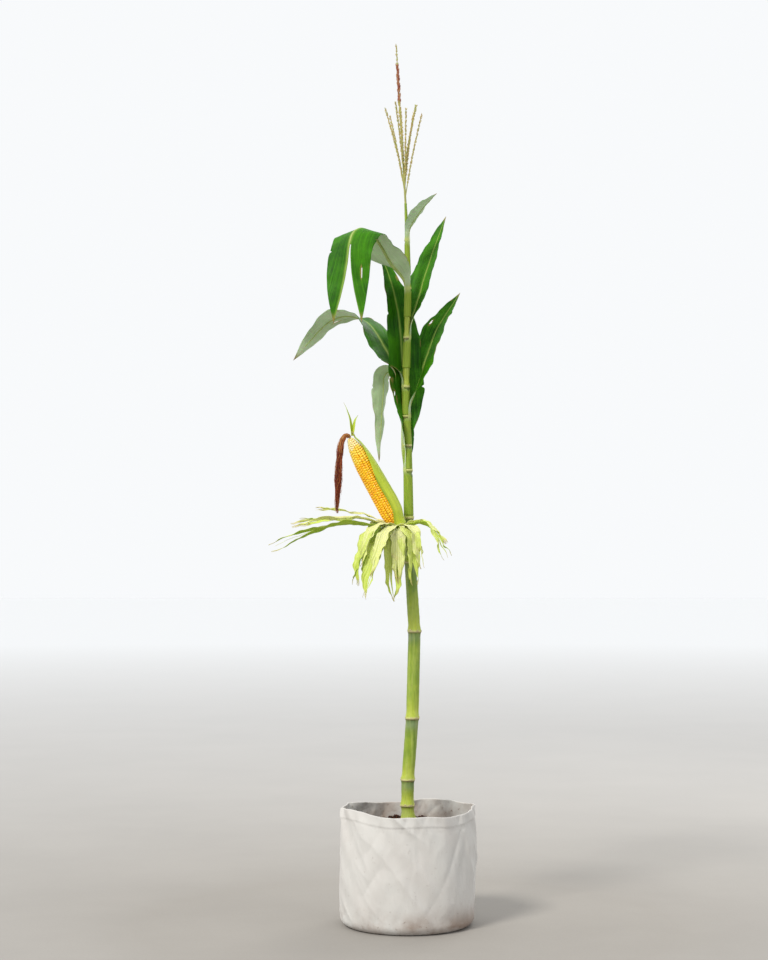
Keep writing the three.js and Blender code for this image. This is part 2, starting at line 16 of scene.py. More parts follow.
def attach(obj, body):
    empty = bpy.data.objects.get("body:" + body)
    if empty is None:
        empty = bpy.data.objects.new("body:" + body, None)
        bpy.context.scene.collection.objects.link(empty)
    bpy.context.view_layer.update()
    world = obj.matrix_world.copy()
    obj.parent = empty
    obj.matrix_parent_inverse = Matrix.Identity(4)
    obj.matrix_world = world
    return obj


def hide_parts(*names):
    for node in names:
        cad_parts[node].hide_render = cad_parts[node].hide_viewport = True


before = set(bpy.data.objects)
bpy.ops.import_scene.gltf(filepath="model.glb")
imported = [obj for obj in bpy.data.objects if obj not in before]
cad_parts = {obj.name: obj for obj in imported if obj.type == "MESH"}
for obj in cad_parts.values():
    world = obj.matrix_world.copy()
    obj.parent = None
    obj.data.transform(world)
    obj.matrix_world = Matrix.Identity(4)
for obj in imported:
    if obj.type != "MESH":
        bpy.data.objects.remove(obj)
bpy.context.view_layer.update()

MM = 0.001
FULL_TURN = 2 * math.pi
GOLDEN_ANGLE = math.radians(137.5)
SEED = 20


@dataclass(kw_only=True)
class Blade:
    """A husk or leaf: where it points, its size, and how it rises, bends and folds. Angles are in degrees.

    A slit is where across the blade it is torn, from which share of the length on, and how far the two
    lobes part.
    """

    name: str
    side: float
    length: float
    width: float
    rise: float
    droop: float
    bend: tuple
    turn: float = 0
    twist: float = 0
    roll: float = 0
    wave: float = 3
    waves: float = 3
    collar_width: float = 0.8
    collar_fold: float = 18
    mid_fold: float = 12
    tip_fold: float = 26
    slit: tuple = None


@dataclass(kw_only=True)
class Leaf(Blade):
    """A blade on the stalk, with the height of its collar, the foot of its sheath and its feeding holes."""

    z: float
    sheath: float
    holes: int = 1
    arched: bool = False
    waves: float = 4.5
    collar_width: float = 0.5
    collar_fold: float = 52
    mid_fold: float = 20
    tip_fold: float = 28

    @property
    def nodes(self):
        """The solids that the leaf stands for: two where it arches over, and otherwise one."""
        return (self.name + "_lower", self.name + "_upper") if self.arched else (self.name,)


# Grow bag and soil
BAG_RADIUS = 176
BAG_HEIGHT = 300
BAG_BELLY = 5
BAG_FOOT_ROUND = 22
BAG_SKIN = 1.8
BAG_INSET = 1.0
FOLD_INSET = 1.6
BAG_COLUMNS = 320
HEM_DEPTH = 27
SOIL_LEVEL = 250
CRUMBS = 6800
FIBRES = 240

# Stalk joints from the ground to the tassel: height, sideways places and stem radius
JOINTS = np.array([
    (250.3, 5, 2, 16.5), (272, 3, 2, 17.5), (305, 1, 1, 16.5), (372, 2, 0, 16.5), (532, 14, -3, 16.5),
    (758, 20, 3, 16), (939, 9, 0, 15), (1055, 5, 3, 11.5), (1180, 3, -2, 10.5), (1245, 1, 1, 10.5),
    (1322, -1, 2, 10), (1400, -3, -2, 9.5), (1530, 1, 2, 8.5), (1660, 3, -1, 7.5), (1788, 1, 1, 5.5),
    (1887, -3, 0, 3.6),
])
BARE_JOINTS = 8
STALK_ROWS = 745
STALK_COLUMNS = 44
STUB_SKIN = 0.5

ROOT_COUNT = 9
ROOT_TOP = 274
ROOT_REACH = 34
ROOT_REACH_SPREAD = 16
ROOT_RADII = (4.2, 2.2)

# Leaves and husks, as in the solids
LEAVES = [
    Leaf(name="leaf_1", z=1180, sheath=1062, side=148, length=530, width=84, rise=82, droop=-86,
         bend=(0.45, 0.6), twist=10, wave=6, arched=True),
    Leaf(name="leaf_2", z=1245, sheath=1184, side=118, length=555, width=108, rise=84, droop=60,
         bend=(0.45, 1), turn=20, twist=-20, wave=7, holes=2),
    Leaf(name="leaf_3", z=1322, sheath=1249, side=34, length=388, width=104, rise=68, droop=52,
         bend=(0.5, 0.8), turn=2, twist=18, wave=5),
    Leaf(name="leaf_4", z=1400, sheath=1326, side=140, length=480, width=112, rise=58, droop=-48,
         bend=(0.3, 0.84), turn=30, twist=92, roll=-44, wave=6, mid_fold=6, tip_fold=10, arched=True),
    Leaf(name="leaf_5", z=1530, sheath=1450, side=42, length=364, width=88, rise=70, droop=66,
         bend=(0.3, 0.8), turn=-6, twist=8, holes=0),
    Leaf(name="leaf_6", z=1660, sheath=1585, side=207, length=520, width=146, rise=51, droop=-84,
         bend=(0.22, 0.7), turn=66, twist=-14, roll=4, wave=5, mid_fold=-20, tip_fold=2,
         slit=(0.06, 0.6, 0.06), arched=True),
    Leaf(name="leaf_7", z=1788, sheath=1700, side=-35, length=150, width=62, rise=65, droop=37,
         bend=(0.1, 1), turn=6, twist=6, wave=2, holes=0),
]
LEAF_SKIN = 0.9
LEAF_RIPPLE = 0.6
LEAF_COLUMNS = 49
SHEATH_ROWS = 30
LINE_STEPS = 240

HUSKS = [
    Blade(name="husk_long_low", side=186, length=325, width=40, rise=6, droop=-26, bend=(0.1, 0.9),
          turn=-6, twist=30),
    Blade(name="husk_long_high", side=160, length=250, width=34, rise=20, droop=-6, bend=(0.1, 0.6),
          turn=16, twist=-20),
    Blade(name="husk_left", side=212, length=220, width=50, rise=10, droop=-78, bend=(0, 0.6),
          turn=10, twist=8),
    Blade(name="husk_front_left", side=238, length=235, width=48, rise=-10, droop=-70, bend=(0, 0.5),
          turn=-16, twist=-12),
    Blade(name="husk_front", side=262, length=210, width=56, rise=-20, droop=-88, bend=(0, 0.35)),
    Blade(name="husk_front_right", side=296, length=190, width=46, rise=0, droop=-82, bend=(0, 0.5),
          turn=10, twist=-8),
    Blade(name="husk_right", side=334, length=175, width=38, rise=18, droop=-60, bend=(0.05, 0.7),
          turn=-12, twist=-12),
    Blade(name="husk_back_left", side=128, length=215, width=46, rise=24, droop=-78, bend=(0, 0.6), turn=12),
]
HUSK_SKIN = 0.7
HUSK_COLUMNS = 43
HUSK_UP = -8
INNER_HUSK_UP = -4

# Ear
EAR_BASE = np.array([-24.0, -38.0, 1037.0])
EAR_TIP = np.array([-150.0, -64.0, 1262.0])
EAR_RADIUS = 29
EAR_ROWS = 16
EAR_LENGTH = float(np.linalg.norm(EAR_TIP - EAR_BASE))
EAR_AXIS = (EAR_TIP - EAR_BASE) / EAR_LENGTH
KERNEL_PITCH = 6.3
STEEPEST_COB = 1.4
SEATING_GAP = 0.3
SHANK_POINTS = [(9, 0, 952), (-2, -38, 985)]
SHANK_TOP_RADIUS = 21
SHANK_STALK_RADIUS = 8
SHANK_STEPS = 60
SHANK_JOINTS = (0.42, 0.6)

BACK_HUSK_SIDE = np.array([0.93, 0.02, 0.3])
BACK_HUSK_FOOT = 9
BACK_HUSK_LENGTH = 261
BACK_HUSK_WIDTH = 84
BACK_HUSK_LAP = 14
TIP_LEAFLETS = [
    Blade(name="ear_leaflet_1", side=150, length=92, width=13, rise=82, droop=60, bend=(0.2, 1),
          twist=20, wave=0),
    Blade(name="ear_leaflet_2", side=60, length=66, width=10, rise=76, droop=40, bend=(0.2, 1),
          twist=-20, wave=0),
]
LEAFLET_SKIN = 0.6

SILK_EXIT = 6
SILK_HANG = [(-162, -67, 1265), (-173, -70, 1236), (-178, -72, 1160), (-182, -70, 1062)]
SILK_RADII = (3.5, 5.5, 6.5, 7.5, 5.5, 2.5)
SILK_STRANDS = 360
SILK_STEPS = 48

TASSEL_FOOT = 1887
TASSEL_TOP = 2312
TASSEL_TOP_X = -28
TASSEL_BRANCHES = 9
ANTHER_TONE = 5

# Stage, in metres
FLOOR_NEAR = (0.33, 0.31, 0.285)
FLOOR_FAR = (0.628, 0.641, 0.658)
FLOOR_FADE = (0.7, 16.0)


def smooth(x):
    clamped = np.clip(x, 0.0, 1.0)
    return clamped * clamped * (3.0 - 2.0 * clamped)


def lerp(a, b, share):
    return a + (b - a) * share


def bell(x, width):
    """A smooth hump, 1 at x = 0."""
    return np.exp(-(x / width) ** 2)


def unit(vectors):
    return vectors / np.linalg.norm(vectors, axis=-1, keepdims=True)


def towards(compass):
    return np.array([math.cos(compass), math.sin(compass), 0])


def circle_angles(columns):
    return np.linspace(0, FULL_TURN, columns, endpoint=False)


def around(x, y, reach, angle, z):
    """Points at a distance and angle round the upright line through x, y."""
    return np.stack(np.broadcast_arrays(x + reach * np.cos(angle), y + reach * np.sin(angle), z), -1)


def path_lengths(path):
    return np.concatenate([[0], np.cumsum(np.linalg.norm(np.diff(path, axis=0), axis=1))])


def points_at(places, lengths, path):
    """Points of a path at the given places along it."""
    return np.stack([np.interp(places, lengths, path[:, axis]) for axis in range(3)], -1)


def bow(start, middle, end, t):
    return start * (1 - t) ** 2 + middle * 2 * t * (1 - t) + end * t ** 2


def stalk_at(z):
    """Axis and radius of the stalk at heights z."""
    return [np.interp(z, JOINTS[:, 0], JOINTS[:, column]) for column in (1, 2, 3)]


def noise_at(points, scale, seed=0.0):
    """Smooth noise, about -1 to 1, at points given in millimetres."""
    flat = np.asarray(points, dtype=float).reshape(-1, 3) / scale + seed
    values = np.array([noise.noise(Vector(point)) for point in flat])
    return values.reshape(np.shape(points)[:-1])


# Meshes


def grid_faces(rows, columns, wrap=False):
    """Quads of a grid, whose normals point along (row direction) x (column direction)."""
    row = np.arange(rows - 1)[:, None]
    column = np.arange(columns if wrap else columns - 1)[None, :]
    here = row * columns + column
    beside = row * columns + (column + 1) % columns
    return np.stack([here, here + columns, beside + columns, beside], axis=-1).reshape(-1, 4)


def sheet_normals(points):
    return unit(np.cross(np.gradient(points, axis=0), np.gradient(points, axis=1)) + 1e-9)


class Shape:
    """Points, faces and point values of one piece, gathered from any number of parts."""

    def __init__(self):
        self.points = []
        self.faces = []
        self.tints = []
        self.values = {}
        self.count = 0

    def add(self, points, faces, tint=0, **values):
        """Adds a part. A tint is the material of its faces, and values spread over the grid of its points."""
        points = np.asarray(points, dtype=float)
        for name, value in values.items():
            self.values.setdefault(name, []).append(np.broadcast_to(value, points.shape[:-1]).ravel())
        self.faces.extend([[int(corner) + self.count for corner in face] for face in faces])
        self.tints.extend(np.broadcast_to(tint, len(faces)).tolist())
        self.points.append(points.reshape(-1, 3))
        self.count += len(self.points[-1])

    def add_wrapped(self, points, tint=0, **values):
        """Adds a closed skin from rings of points, outward when the rings run upwards."""
        rows, columns = points.shape[:2]
        faces = grid_faces(rows, columns, wrap=True)[:, ::-1].tolist()
        last = (rows - 1) * columns
        caps = [list(range(columns))[::-1], [last + column for column in range(columns)]]
        self.add(points, faces + caps, tint, **values)

    def add_tube(self, path, radii, sides, tint=0, **values):
        """Adds a closed tube of changing radius along a path."""
        path = np.asarray(path, dtype=float)
        tangents = unit(np.gradient(path, axis=0))
        normal = unit(np.cross(tangents[0], (0.31, 0.87, 0.38)))
        angle = np.arange(sides)[:, None] * FULL_TURN / sides
        rings = []
        for point, tangent, radius in zip(path, tangents, np.broadcast_to(radii, len(path))):
            normal = unit(normal - tangent * np.dot(normal, tangent))
            binormal = np.cross(tangent, normal)
            rings.append(point + radius * (np.cos(angle) * normal + np.sin(angle) * binormal))
        spread = {name: np.broadcast_to(value, len(path))[:, None] for name, value in values.items()}
        self.add_wrapped(np.stack(rings), tint, **spread)


def make_object(name, shape, materials):
    mesh = bpy.data.meshes.new(name)
    mesh.from_pydata((np.concatenate(shape.points) * MM).tolist(), [], shape.faces)
    mesh.polygons.foreach_set("material_index", shape.tints)
    for value_name, stored in shape.values.items():
        layer = mesh.attributes.new(value_name, "FLOAT", "POINT")
        layer.data.foreach_set("value", np.concatenate(stored).astype(np.float32))
    for material in materials:
        mesh.materials.append(material)
    mesh.shade_smooth()
    mesh.validate()
    piece = bpy.data.objects.new(name, mesh)
    bpy.context.scene.collection.objects.link(piece)
    return piece


def thicken(piece, thickness):
    """Gives a sheet its thickness downwards. Its underside takes the last material."""
    modifier = piece.modifiers.new("skin", "SOLIDIFY")
    modifier.thickness = thickness * MM
    modifier.offset = -1
    modifier.use_even_offset = False
    modifier.material_offset = len(piece.data.materials) - 1
    depsgraph = bpy.context.evaluated_depsgraph_get()
    solid = bpy.data.meshes.new_from_object(
        piece.evaluated_get(depsgraph), preserve_all_data_layers=True, depsgraph=depsgraph)
    piece.modifiers.clear()
    piece.data = solid


def add_piece(name, shape, materials, nodes=(), skin=0):
    """Makes a piece, gives a sheet its thickness, hangs it on the root body and hides the solids it stands
    for.
    """
    piece = make_object(name, shape, materials)
    if skin:
        thicken(piece, skin)
    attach(piece, "root")
    if nodes:
        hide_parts(*nodes)


# Materials


def toned(colour, gain):
    return tuple(min(1, gain * channel) for channel in colour)


class Look:
    """A material and short ways to add nodes to it."""

    def __init__(self, name, roughness, specular=0.5):
        self.material = bpy.data.materials.new(name)
        self.material.use_nodes = True
        self.nodes = self.material.node_tree.nodes
        self.links = self.material.node_tree.links
        self.shader = self.nodes["Principled BSDF"]
        self.shader.inputs["Roughness"].default_value = roughness
        self.shader.inputs["Specular IOR Level"].default_value = specular

    def connect(self, value, socket):
        if hasattr(value, "is_output"):
            self.links.new(value, socket)
        elif isinstance(value, tuple) and len(socket.default_value) == 4:
            socket.default_value = (*value, 1)
        else:
            socket.default_value = value

    def value(self, name):
        node = self.nodes.new("ShaderNodeAttribute")
        node.attribute_name = name
        return node.outputs["Fac"]

    def place(self, scale=None):
        vector = self.nodes.new("ShaderNodeTexCoord").outputs["Object"]
        if scale is None:
            return vector
        node = self.nodes.new("ShaderNodeMapping")
        self.links.new(vector, node.inputs["Vector"])
        node.inputs["Scale"].default_value = scale
        return node.outputs["Vector"]

    def strips(self, stretch, spread):
        """Places on a blade, drawn out along it and different on each blade."""
        along = self.math("MULTIPLY", self.value("along_mm"), stretch)
        number = self.math("MULTIPLY", self.value("number"), spread)
        node = self.nodes.new("ShaderNodeCombineXYZ")
        for socket, value in zip(node.inputs, (self.value("across_mm"), along, number)):
            self.connect(value, socket)
        return node.outputs["Vector"]

    def noise(self, vector, scale, detail=3.0, rough=0.55):
        node = self.nodes.new("ShaderNodeTexNoise")
        self.links.new(vector, node.inputs["Vector"])
        node.inputs["Scale"].default_value = scale
        node.inputs["Detail"].default_value = detail
        node.inputs["Roughness"].default_value = rough
        return node.outputs["Fac"]

    def math(self, operation, a, b=0.0):
        node = self.nodes.new("ShaderNodeMath")
        node.operation = operation
        self.connect(a, node.inputs[0])
        self.connect(b, node.inputs[1])
        return node.outputs["Value"]

    def between(self, value, low, high, to_low=0.0, to_high=1.0):
        """Maps a value from low..high to 0..1, or to another range, and holds it there."""
        node = self.nodes.new("ShaderNodeMapRange")
        self.connect(value, node.inputs["Value"])
        for name, number in (("From Min", low), ("From Max", high), ("To Min", to_low), ("To Max", to_high)):
            node.inputs[name].default_value = number
        return node.outputs["Result"]

    def mix(self, share, a, b):
        node = self.nodes.new("ShaderNodeMix")
        node.data_type = "RGBA"
        self.connect(share, node.inputs[0])
        self.connect(a, node.inputs[6])
        self.connect(b, node.inputs[7])
        return node.outputs[2]

    def colour(self, body, *coats):
        """Colours the material: a body, and over it each coat by its share, a socket or a point value."""
        for share, coat in coats:
            body = self.mix(self.value(share) if isinstance(share, str) else share, body, coat)
        self.connect(body, self.shader.inputs["Base Color"])

    def roughness(self, value):
        self.connect(value, self.shader.inputs["Roughness"])

    def bump(self, height, distance, strength=1.0):
        """Surface relief. Distance is in millimetres."""
        node = self.nodes.new("ShaderNodeBump")
        self.connect(height, node.inputs["Height"])
        node.inputs["Distance"].default_value = distance * MM
        node.inputs["Strength"].default_value = strength
        self.links.new(node.outputs["Normal"], self.shader.inputs["Normal"])

    def glow_through(self, weight, radius, scale):
        """Light that passes through a thin or waxy body."""
        self.shader.inputs["Subsurface Weight"].default_value = weight
        self.shader.inputs["Subsurface Radius"].default_value = radius
        self.shader.inputs["Subsurface Scale"].default_value = scale * MM


def leaf_look(name, fresh, deep, rib, roughness, gloss, vein_gain):
    """Blade with fine veins along it, a pale midrib, a lighter sheath and dry edges."""
    look = Look(name, roughness, gloss)
    strips = look.strips(0.012, 9.1)
    veins = look.noise(strips, 0.5, 2.0)
    fine = look.noise(strips, 1.7, 1.0)
    cloud = look.noise(look.place(), 12.0, 4.0, 0.6)
    sheath = look.mix(look.between(fine, 0.3, 0.7), (0.16, 0.26, 0.02), (0.3, 0.39, 0.045))
    dried = look.mix(look.between(fine, 0.3, 0.7), (0.4, 0.29, 0.09), (0.2, 0.12, 0.04))
    look.colour(
        look.mix(look.between(cloud, 0.36, 0.66), deep, fresh),
        (look.between(veins, 0.44, 0.66, 0.0, 0.34), toned(fresh, vein_gain)),
        (look.between(fine, 0.34, 0.46, 0.3, 0.0), toned(deep, 0.45)),
        (look.between(look.value("along_mm"), -14.0, 30.0, 1.0, 0.0), sheath),
        ("collar", (0.47, 0.53, 0.16)),
        ("rib", rib),
        ("dry", dried))
    look.roughness(look.between(cloud, 0.3, 0.7, roughness - 0.07, roughness + 0.09))
    look.bump(look.math("ADD", veins, look.math("MULTIPLY", fine, 0.5)), 0.6, 0.9)
    look.glow_through(0.1, (0.25, 1.0, 0.12), 3.0)
    return look.material


def stalk_look():
    """Cane with long fibres, mottled greens, a dull bloom below the joints and small brown flecks."""
    look = Look("stalk_cane", 0.4, 0.4)
    fibres = look.noise(look.place((1, 1, 0.03)), 620.0, 2.0)
    streaks = look.noise(look.place((1, 1, 0.07)), 150.0)
    cloud = look.noise(look.place((1, 1, 0.5)), 30.0, 4.0, 0.6)
    flecks = look.noise(look.place((1, 1, 0.35)), 330.0, 2.0)
    look.colour(
        look.mix(look.between(cloud, 0.34, 0.66), (0.15, 0.25, 0.016), (0.33, 0.42, 0.03)),
        # Painted shade from the shade value: below the joints, at the stalk's foot and along the shank.
        ("shade", (0.055, 0.125, 0.012)),
        ("fresh", (0.46, 0.53, 0.05)),
        (look.between(streaks, 0.44, 0.7, 0.0, 0.5), (0.43, 0.49, 0.12)),
        (look.between(fibres, 0.3, 0.5, 0.3, 0.0), (0.1, 0.17, 0.02)),
        ("bloom", (0.4, 0.46, 0.3)),
        ("ring", (0.54, 0.54, 0.2)),
        ("scar", (0.15, 0.085, 0.03)),
        (look.between(flecks, 0.66, 0.72, 0.0, 0.7), (0.22, 0.13, 0.04)))
    look.roughness(look.between(cloud, 0.3, 0.7, 0.32, 0.52))
    look.bump(look.math("ADD", fibres, streaks), 0.35, 0.7)
    look.glow_through(0.06, (0.4, 0.8, 0.1), 3.0)
    return look.material


def root_look():
    look = Look("prop_root", 0.5)
    cloud = look.noise(look.place(), 120.0)
    body = look.mix(look.between(cloud, 0.3, 0.7), (0.42, 0.44, 0.12), (0.66, 0.62, 0.3))
    look.colour(body, ("tip", (0.28, 0.17, 0.07)))
    look.bump(cloud, 0.4, 0.6)
    return look.material


def kernel_look(name, colour):
    """One tone of kernel, or of the painted shade on the kernels' flanks: plain colour under a waxy, slightly
    uneven skin.
    """
    look = Look(name, 0.24, 0.45)
    look.colour(colour)
    look.bump(look.noise(look.place(), 420.0, 2.0), 0.12, 0.5)
    look.glow_through(0.22, (1.0, 0.6, 0.1), 2.5)
    look.shader.inputs["Coat Weight"].default_value = 0.2
    look.shader.inputs["Coat Roughness"].default_value = 0.12
    return look.material


def spray_look(name, colour, roughness):
    """One tone of the many small things, each of which takes one of a few plain tones."""
    look = Look(name, roughness, 0.3)
    look.colour(colour)
    look.bump(look.noise(look.place(), 500.0), 0.3, 0.6)
    return look.material


def tone_looks(make_look, prefix, *terms, **tones):
    """Materials of one kind in several named colours."""
    return [make_look(prefix + name, colour, *terms) for name, colour in tones.items()]


def cob_look():
    look = Look("cob_core", 0.6)
    cloud = look.noise(look.place(), 200.0)
    look.colour(look.mix(look.between(cloud, 0.3, 0.7), (0.62, 0.36, 0.04), (0.8, 0.6, 0.16)))
    look.bump(cloud, 0.6, 0.8)
    return look.material


def husk_look(name, base, tip, dry, roughness, bands=0.2):
    """Husk with strong ribs: one colour at the foot, another towards the tip, and dry ragged ends."""
    look = Look(name, roughness, 0.35)
    strips = look.strips(0.01, 7.7)
    ribs = look.noise(strips, 0.62, 2.0)
    fine = look.noise(strips, 2.6, 1.0)
    broad = look.noise(strips, 0.17, 2.0)
    cloud = look.noise(look.place(), 26.0)
    look.colour(
        base,
        ("share", tip),
        (look.between(cloud, 0.35, 0.7, 0.0, 0.45), tip),
        (look.between(broad, 0.45, 0.58, 0.0, bands), toned(tip, 0.55)),
        (look.between(ribs, 0.42, 0.68, 0.0, 0.4), toned(base, 1.25)),
        (look.between(fine, 0.45, 0.75, 0.0, 0.22), toned(tip, 0.62)),
        ("dry", dry))
    look.bump(look.math("ADD", ribs, look.math("MULTIPLY", fine, 0.4)), 0.7, 0.9)
    look.glow_through(0.18, (0.9, 1.0, 0.3), 4.0)
    return look.material


def bag_look():
    """Off-white woven fabric with a fine weave, soil stains inside and along the foot, and scuffs."""
    look = Look("bag_fabric", 0.78, 0.3)
    thread_turns = FULL_TURN / 2.4
    warp = look.math("SINE", look.math("MULTIPLY", look.value("around_mm"), thread_turns))
    weft = look.math("SINE", look.math("MULTIPLY", look.value("height_mm"), thread_turns))
    weave = look.math("MULTIPLY", warp, weft)
    cloud = look.noise(look.place(), 9.0, 5.0, 0.6)
    specks = look.noise(look.place(), 75.0, 4.0, 0.65)
    look.colour(
        look.mix(look.between(cloud, 0.35, 0.7), (0.58, 0.57, 0.545), (0.71, 0.705, 0.685)),
        (look.between(weave, -1.0, 1.0, 0.0, 0.12), (0.45, 0.43, 0.4)),
        (look.math("MULTIPLY", look.value("stain"), look.between(cloud, 0.36, 0.62)), (0.2, 0.12, 0.075)),
        (look.math("MULTIPLY", look.between(specks, 0.62, 0.74), look.value("stain")), (0.13, 0.07, 0.04)))
    look.bump(look.math("ADD", look.math("MULTIPLY", weave, 0.25), look.noise(look.place(), 60.0)), 0.8, 0.5)
    look.shader.inputs["Sheen Weight"].default_value = 0.15
    return look.material


def soil_look():
    """Moist peat and coir: dark grains, red-brown clods and a few rusty patches."""
    look = Look("soil_bed", 0.95, 0.12)
    grain = look.noise(look.place(), 260.0, 5.0, 0.7)
    clod = look.noise(look.place(), 52.0)
    rust = look.noise(look.place(), 11.0)
    look.colour(
        look.mix(look.between(grain, 0.35, 0.7), (0.012, 0.005, 0.003), (0.06, 0.024, 0.013)),
        (look.between(clod, 0.55, 0.75, 0.0, 0.5), (0.09, 0.04, 0.02)),
        (look.between(rust, 0.58, 0.7, 0.0, 0.6), (0.16, 0.055, 0.018)))
    look.bump(look.math("ADD", grain, clod), 2.0, 0.9)
    return look.material


def plain_look(name, colour, roughness):
    """A small part's finish: one colour with a little cloud and relief."""
    look = Look(name, roughness, 0.3)
    cloud = look.noise(look.place(), 90.0)
    look.colour(look.mix(look.between(cloud, 0.3, 0.7), colour, toned(colour, 0.72)))
    look.bump(cloud, 0.3, 0.5)
    return look.material


# Blades


def rib_line(blade, foot, t):
    """Points of a blade's midrib at shares t, with the directions across and up there."""
    fine = np.arange(LINE_STEPS + 1) / LINE_STEPS

    def directions(share):
        bent = smooth((share - blade.bend[0]) / (blade.bend[1] - blade.bend[0]))
        slope = np.radians(lerp(blade.rise, blade.droop, bent))
        compass = np.radians(blade.side + blade.turn * share)
        along = around(0, 0, np.cos(slope), compass, np.sin(slope))
        return along, np.stack([-np.sin(compass), np.cos(compass), np.zeros_like(compass)], -1)

    steps = directions(fine)[0][:-1] * blade.length / LINE_STEPS
    walked = np.vstack([np.zeros(3), np.cumsum(steps, axis=0)]) + foot
    along, across = directions(t)
    up = np.cross(along, across)
    twist = np.radians(blade.twist * t + blade.roll * smooth(t / 0.2))[:, None]
    turned_across = across * np.cos(twist) + up * np.sin(twist)
    return points_at(t, fine, walked), turned_across, up * np.cos(twist) - across * np.sin(twist)


def blade_width(t, blade):
    """Share of its full width that a blade has at shares t."""
    opening = lerp(blade.collar_width, 1, smooth(t / 0.3))
    return opening * (1 - np.maximum(0, (t - 0.35) / 0.65) ** 1.9)


def blade_fold(t, blade):
    opened = lerp(blade.collar_fold, blade.mid_fold, smooth(t / 0.3))
    return np.radians(lerp(opened, blade.tip_fold, smooth((t - 0.6) / 0.4)))


def lateral_places(blade, t, s):
    """Distance from the midrib of each grid point. A slit parts the blade into two tapering lobes."""
    places = blade.width * blade_width(t, blade) / 2 * s
    if blade.slit is None:
        return np.where(t > 0.995, s * 0.4, places)
    seam, start, spread = blade.slit
    held = blade.width * blade_width(start, blade) / 2
    part = (t - start) / (1 - start)
    taper = np.maximum(1 - np.maximum(0, part) ** 1.8, 0.02)
    for low, high, sign in ((-1.0, seam, -1), (seam, 1.0, 1)):
        centre = (low + high) / 2
        lobe = held * (centre + sign * spread * smooth(part) + (s - centre) * taper)
        inside = (s >= low) if sign > 0 else (s < seam)
        places = np.where((t > start) & inside, lobe, places)
    return places


def blade_points(blade, foot, t, s, ripple=1.0):
    """The mid-surface of a blade on a grid of shares t along it and places s across it."""
    point, across, up = rib_line(blade, foot, t)
    s = np.broadcast_to(s, (len(t), np.shape(s)[-1]))
    t = t[:, None]
    places = lateral_places(blade, t, s)
    fold = blade_fold(t, blade)
    rise = np.sqrt(places ** 2 + 6) - math.sqrt(6)
    wave = np.sin(FULL_TURN * blade.waves * t + np.where(s > 0, 1.3, 0)) * s * s
    small = np.sin(FULL_TURN * 2.7 * blade.waves * t + np.where(s > 0, 2.1, 0.4)) * np.abs(s) ** 3
    fade = smooth(t / 0.25) * smooth((1 - t) / 0.25)
    lift = rise * np.sin(fold) + ripple * blade.wave * fade * (wave + 0.32 * small)
    if blade.slit is not None:
        seam, start, _ = blade.slit
        lift = lift + np.where(s >= seam, 10, -8) * smooth((t - start) / (1 - start))
    lateral = places * np.cos(fold)
    return point[:, None, :] + across[:, None, :] * lateral[..., None] + up[:, None, :] * lift[..., None]


def push_off_stalk(points, side, clearance):
    """Moves points that lie inside the stalk out to its skin."""
    x, y, radius = stalk_at(points[..., 2])
    offset = np.stack([points[..., 0] - x, points[..., 1] - y], -1)
    distance = np.linalg.norm(offset, axis=-1)
    outward = offset / np.maximum(distance, 0.5)[..., None]
    direction = np.where(distance[..., None] > 0.5, outward, towards(side)[:2])
    pushed = np.maximum(distance, radius + clearance)
    moved = points.copy()
    moved[..., 0] = x + direction[..., 0] * pushed
    moved[..., 1] = y + direction[..., 1] * pushed
    return moved


def wrap_points(z, angle, clearance):
    """Points on the stalk's skin at heights z and angles round it."""
    x, y, radius = stalk_at(z)
    return around(x, y, radius + clearance, angle, z)


def leaf_grid(leaf, t, s, kept):
    """Sheath and blade of a leaf as one sheet that unrolls from the stalk at the collar."""
    side = math.radians(leaf.side)
    x, y, _ = stalk_at(leaf.z)
    nibbled = s * (1 - (1 - kept) * np.abs(s) ** 5)
    blade = push_off_stalk(blade_points(leaf, np.array([x, y, leaf.z]), t, nibbled, LEAF_RIPPLE), side, 1.4)
    climb = t[:, None] * leaf.length
    height = leaf.z + climb * math.sin(math.radians(leaf.rise))
    cover = math.radians(100) * (1 - 0.5 * smooth(climb / 90))
    wrapped = wrap_points(height, side + s * cover, 1.6)
    blade = lerp(wrapped, blade, smooth(climb / 85)[..., None])
    q = np.linspace(0, 1, SHEATH_ROWS, endpoint=False)[:, None]
    z = lerp(leaf.sheath, leaf.z, q) - 3 * smooth((q - 0.9) / 0.1) * np.abs(s)
    cover = np.radians(lerp(186, 100, smooth((q - 0.8) / 0.2)))
    lap = 0.5 * (s + 1) / 2
    flare = 0.8 * smooth((q - 0.92) / 0.08)
    return np.concatenate([wrap_points(z, side + s * cover, 0.5 + lap + flare), blade])


def nibbled_margins(t, s, rng):
    """How much of the half width is left at each place, with small nicks along both margins."""
    margins = [np.ones(len(t)), np.ones(len(t))]
    for margin in margins:
        for _ in range(3):
            reach = rng.uniform(0.003, 0.006)
            margin -= rng.uniform(0.04, 0.14) * bell(t - rng.uniform(0.12, 0.97), reach)
    return np.where(s < 0, margins[0][:, None], margins[1][:, None])


def hole_distance(t, s, leaf, rng):
    """Nearness of each place to a feeding hole: below 1 inside one, and growing away from it."""
    near = np.full((len(t), len(s)), 9.0)
    for _ in range(leaf.holes):
        place = rng.uniform(0.22, 0.8)
        offset = rng.choice([-1, 1]) * rng.uniform(0.3, 0.8)
        long_way = (t[:, None] - place) * leaf.length / rng.uniform(5, 13)
        cross_way = (s - offset) * leaf.width / 2 / rng.uniform(1.8, 4.2)
        near = np.minimum(near, np.hypot(long_way, cross_way))
    return near


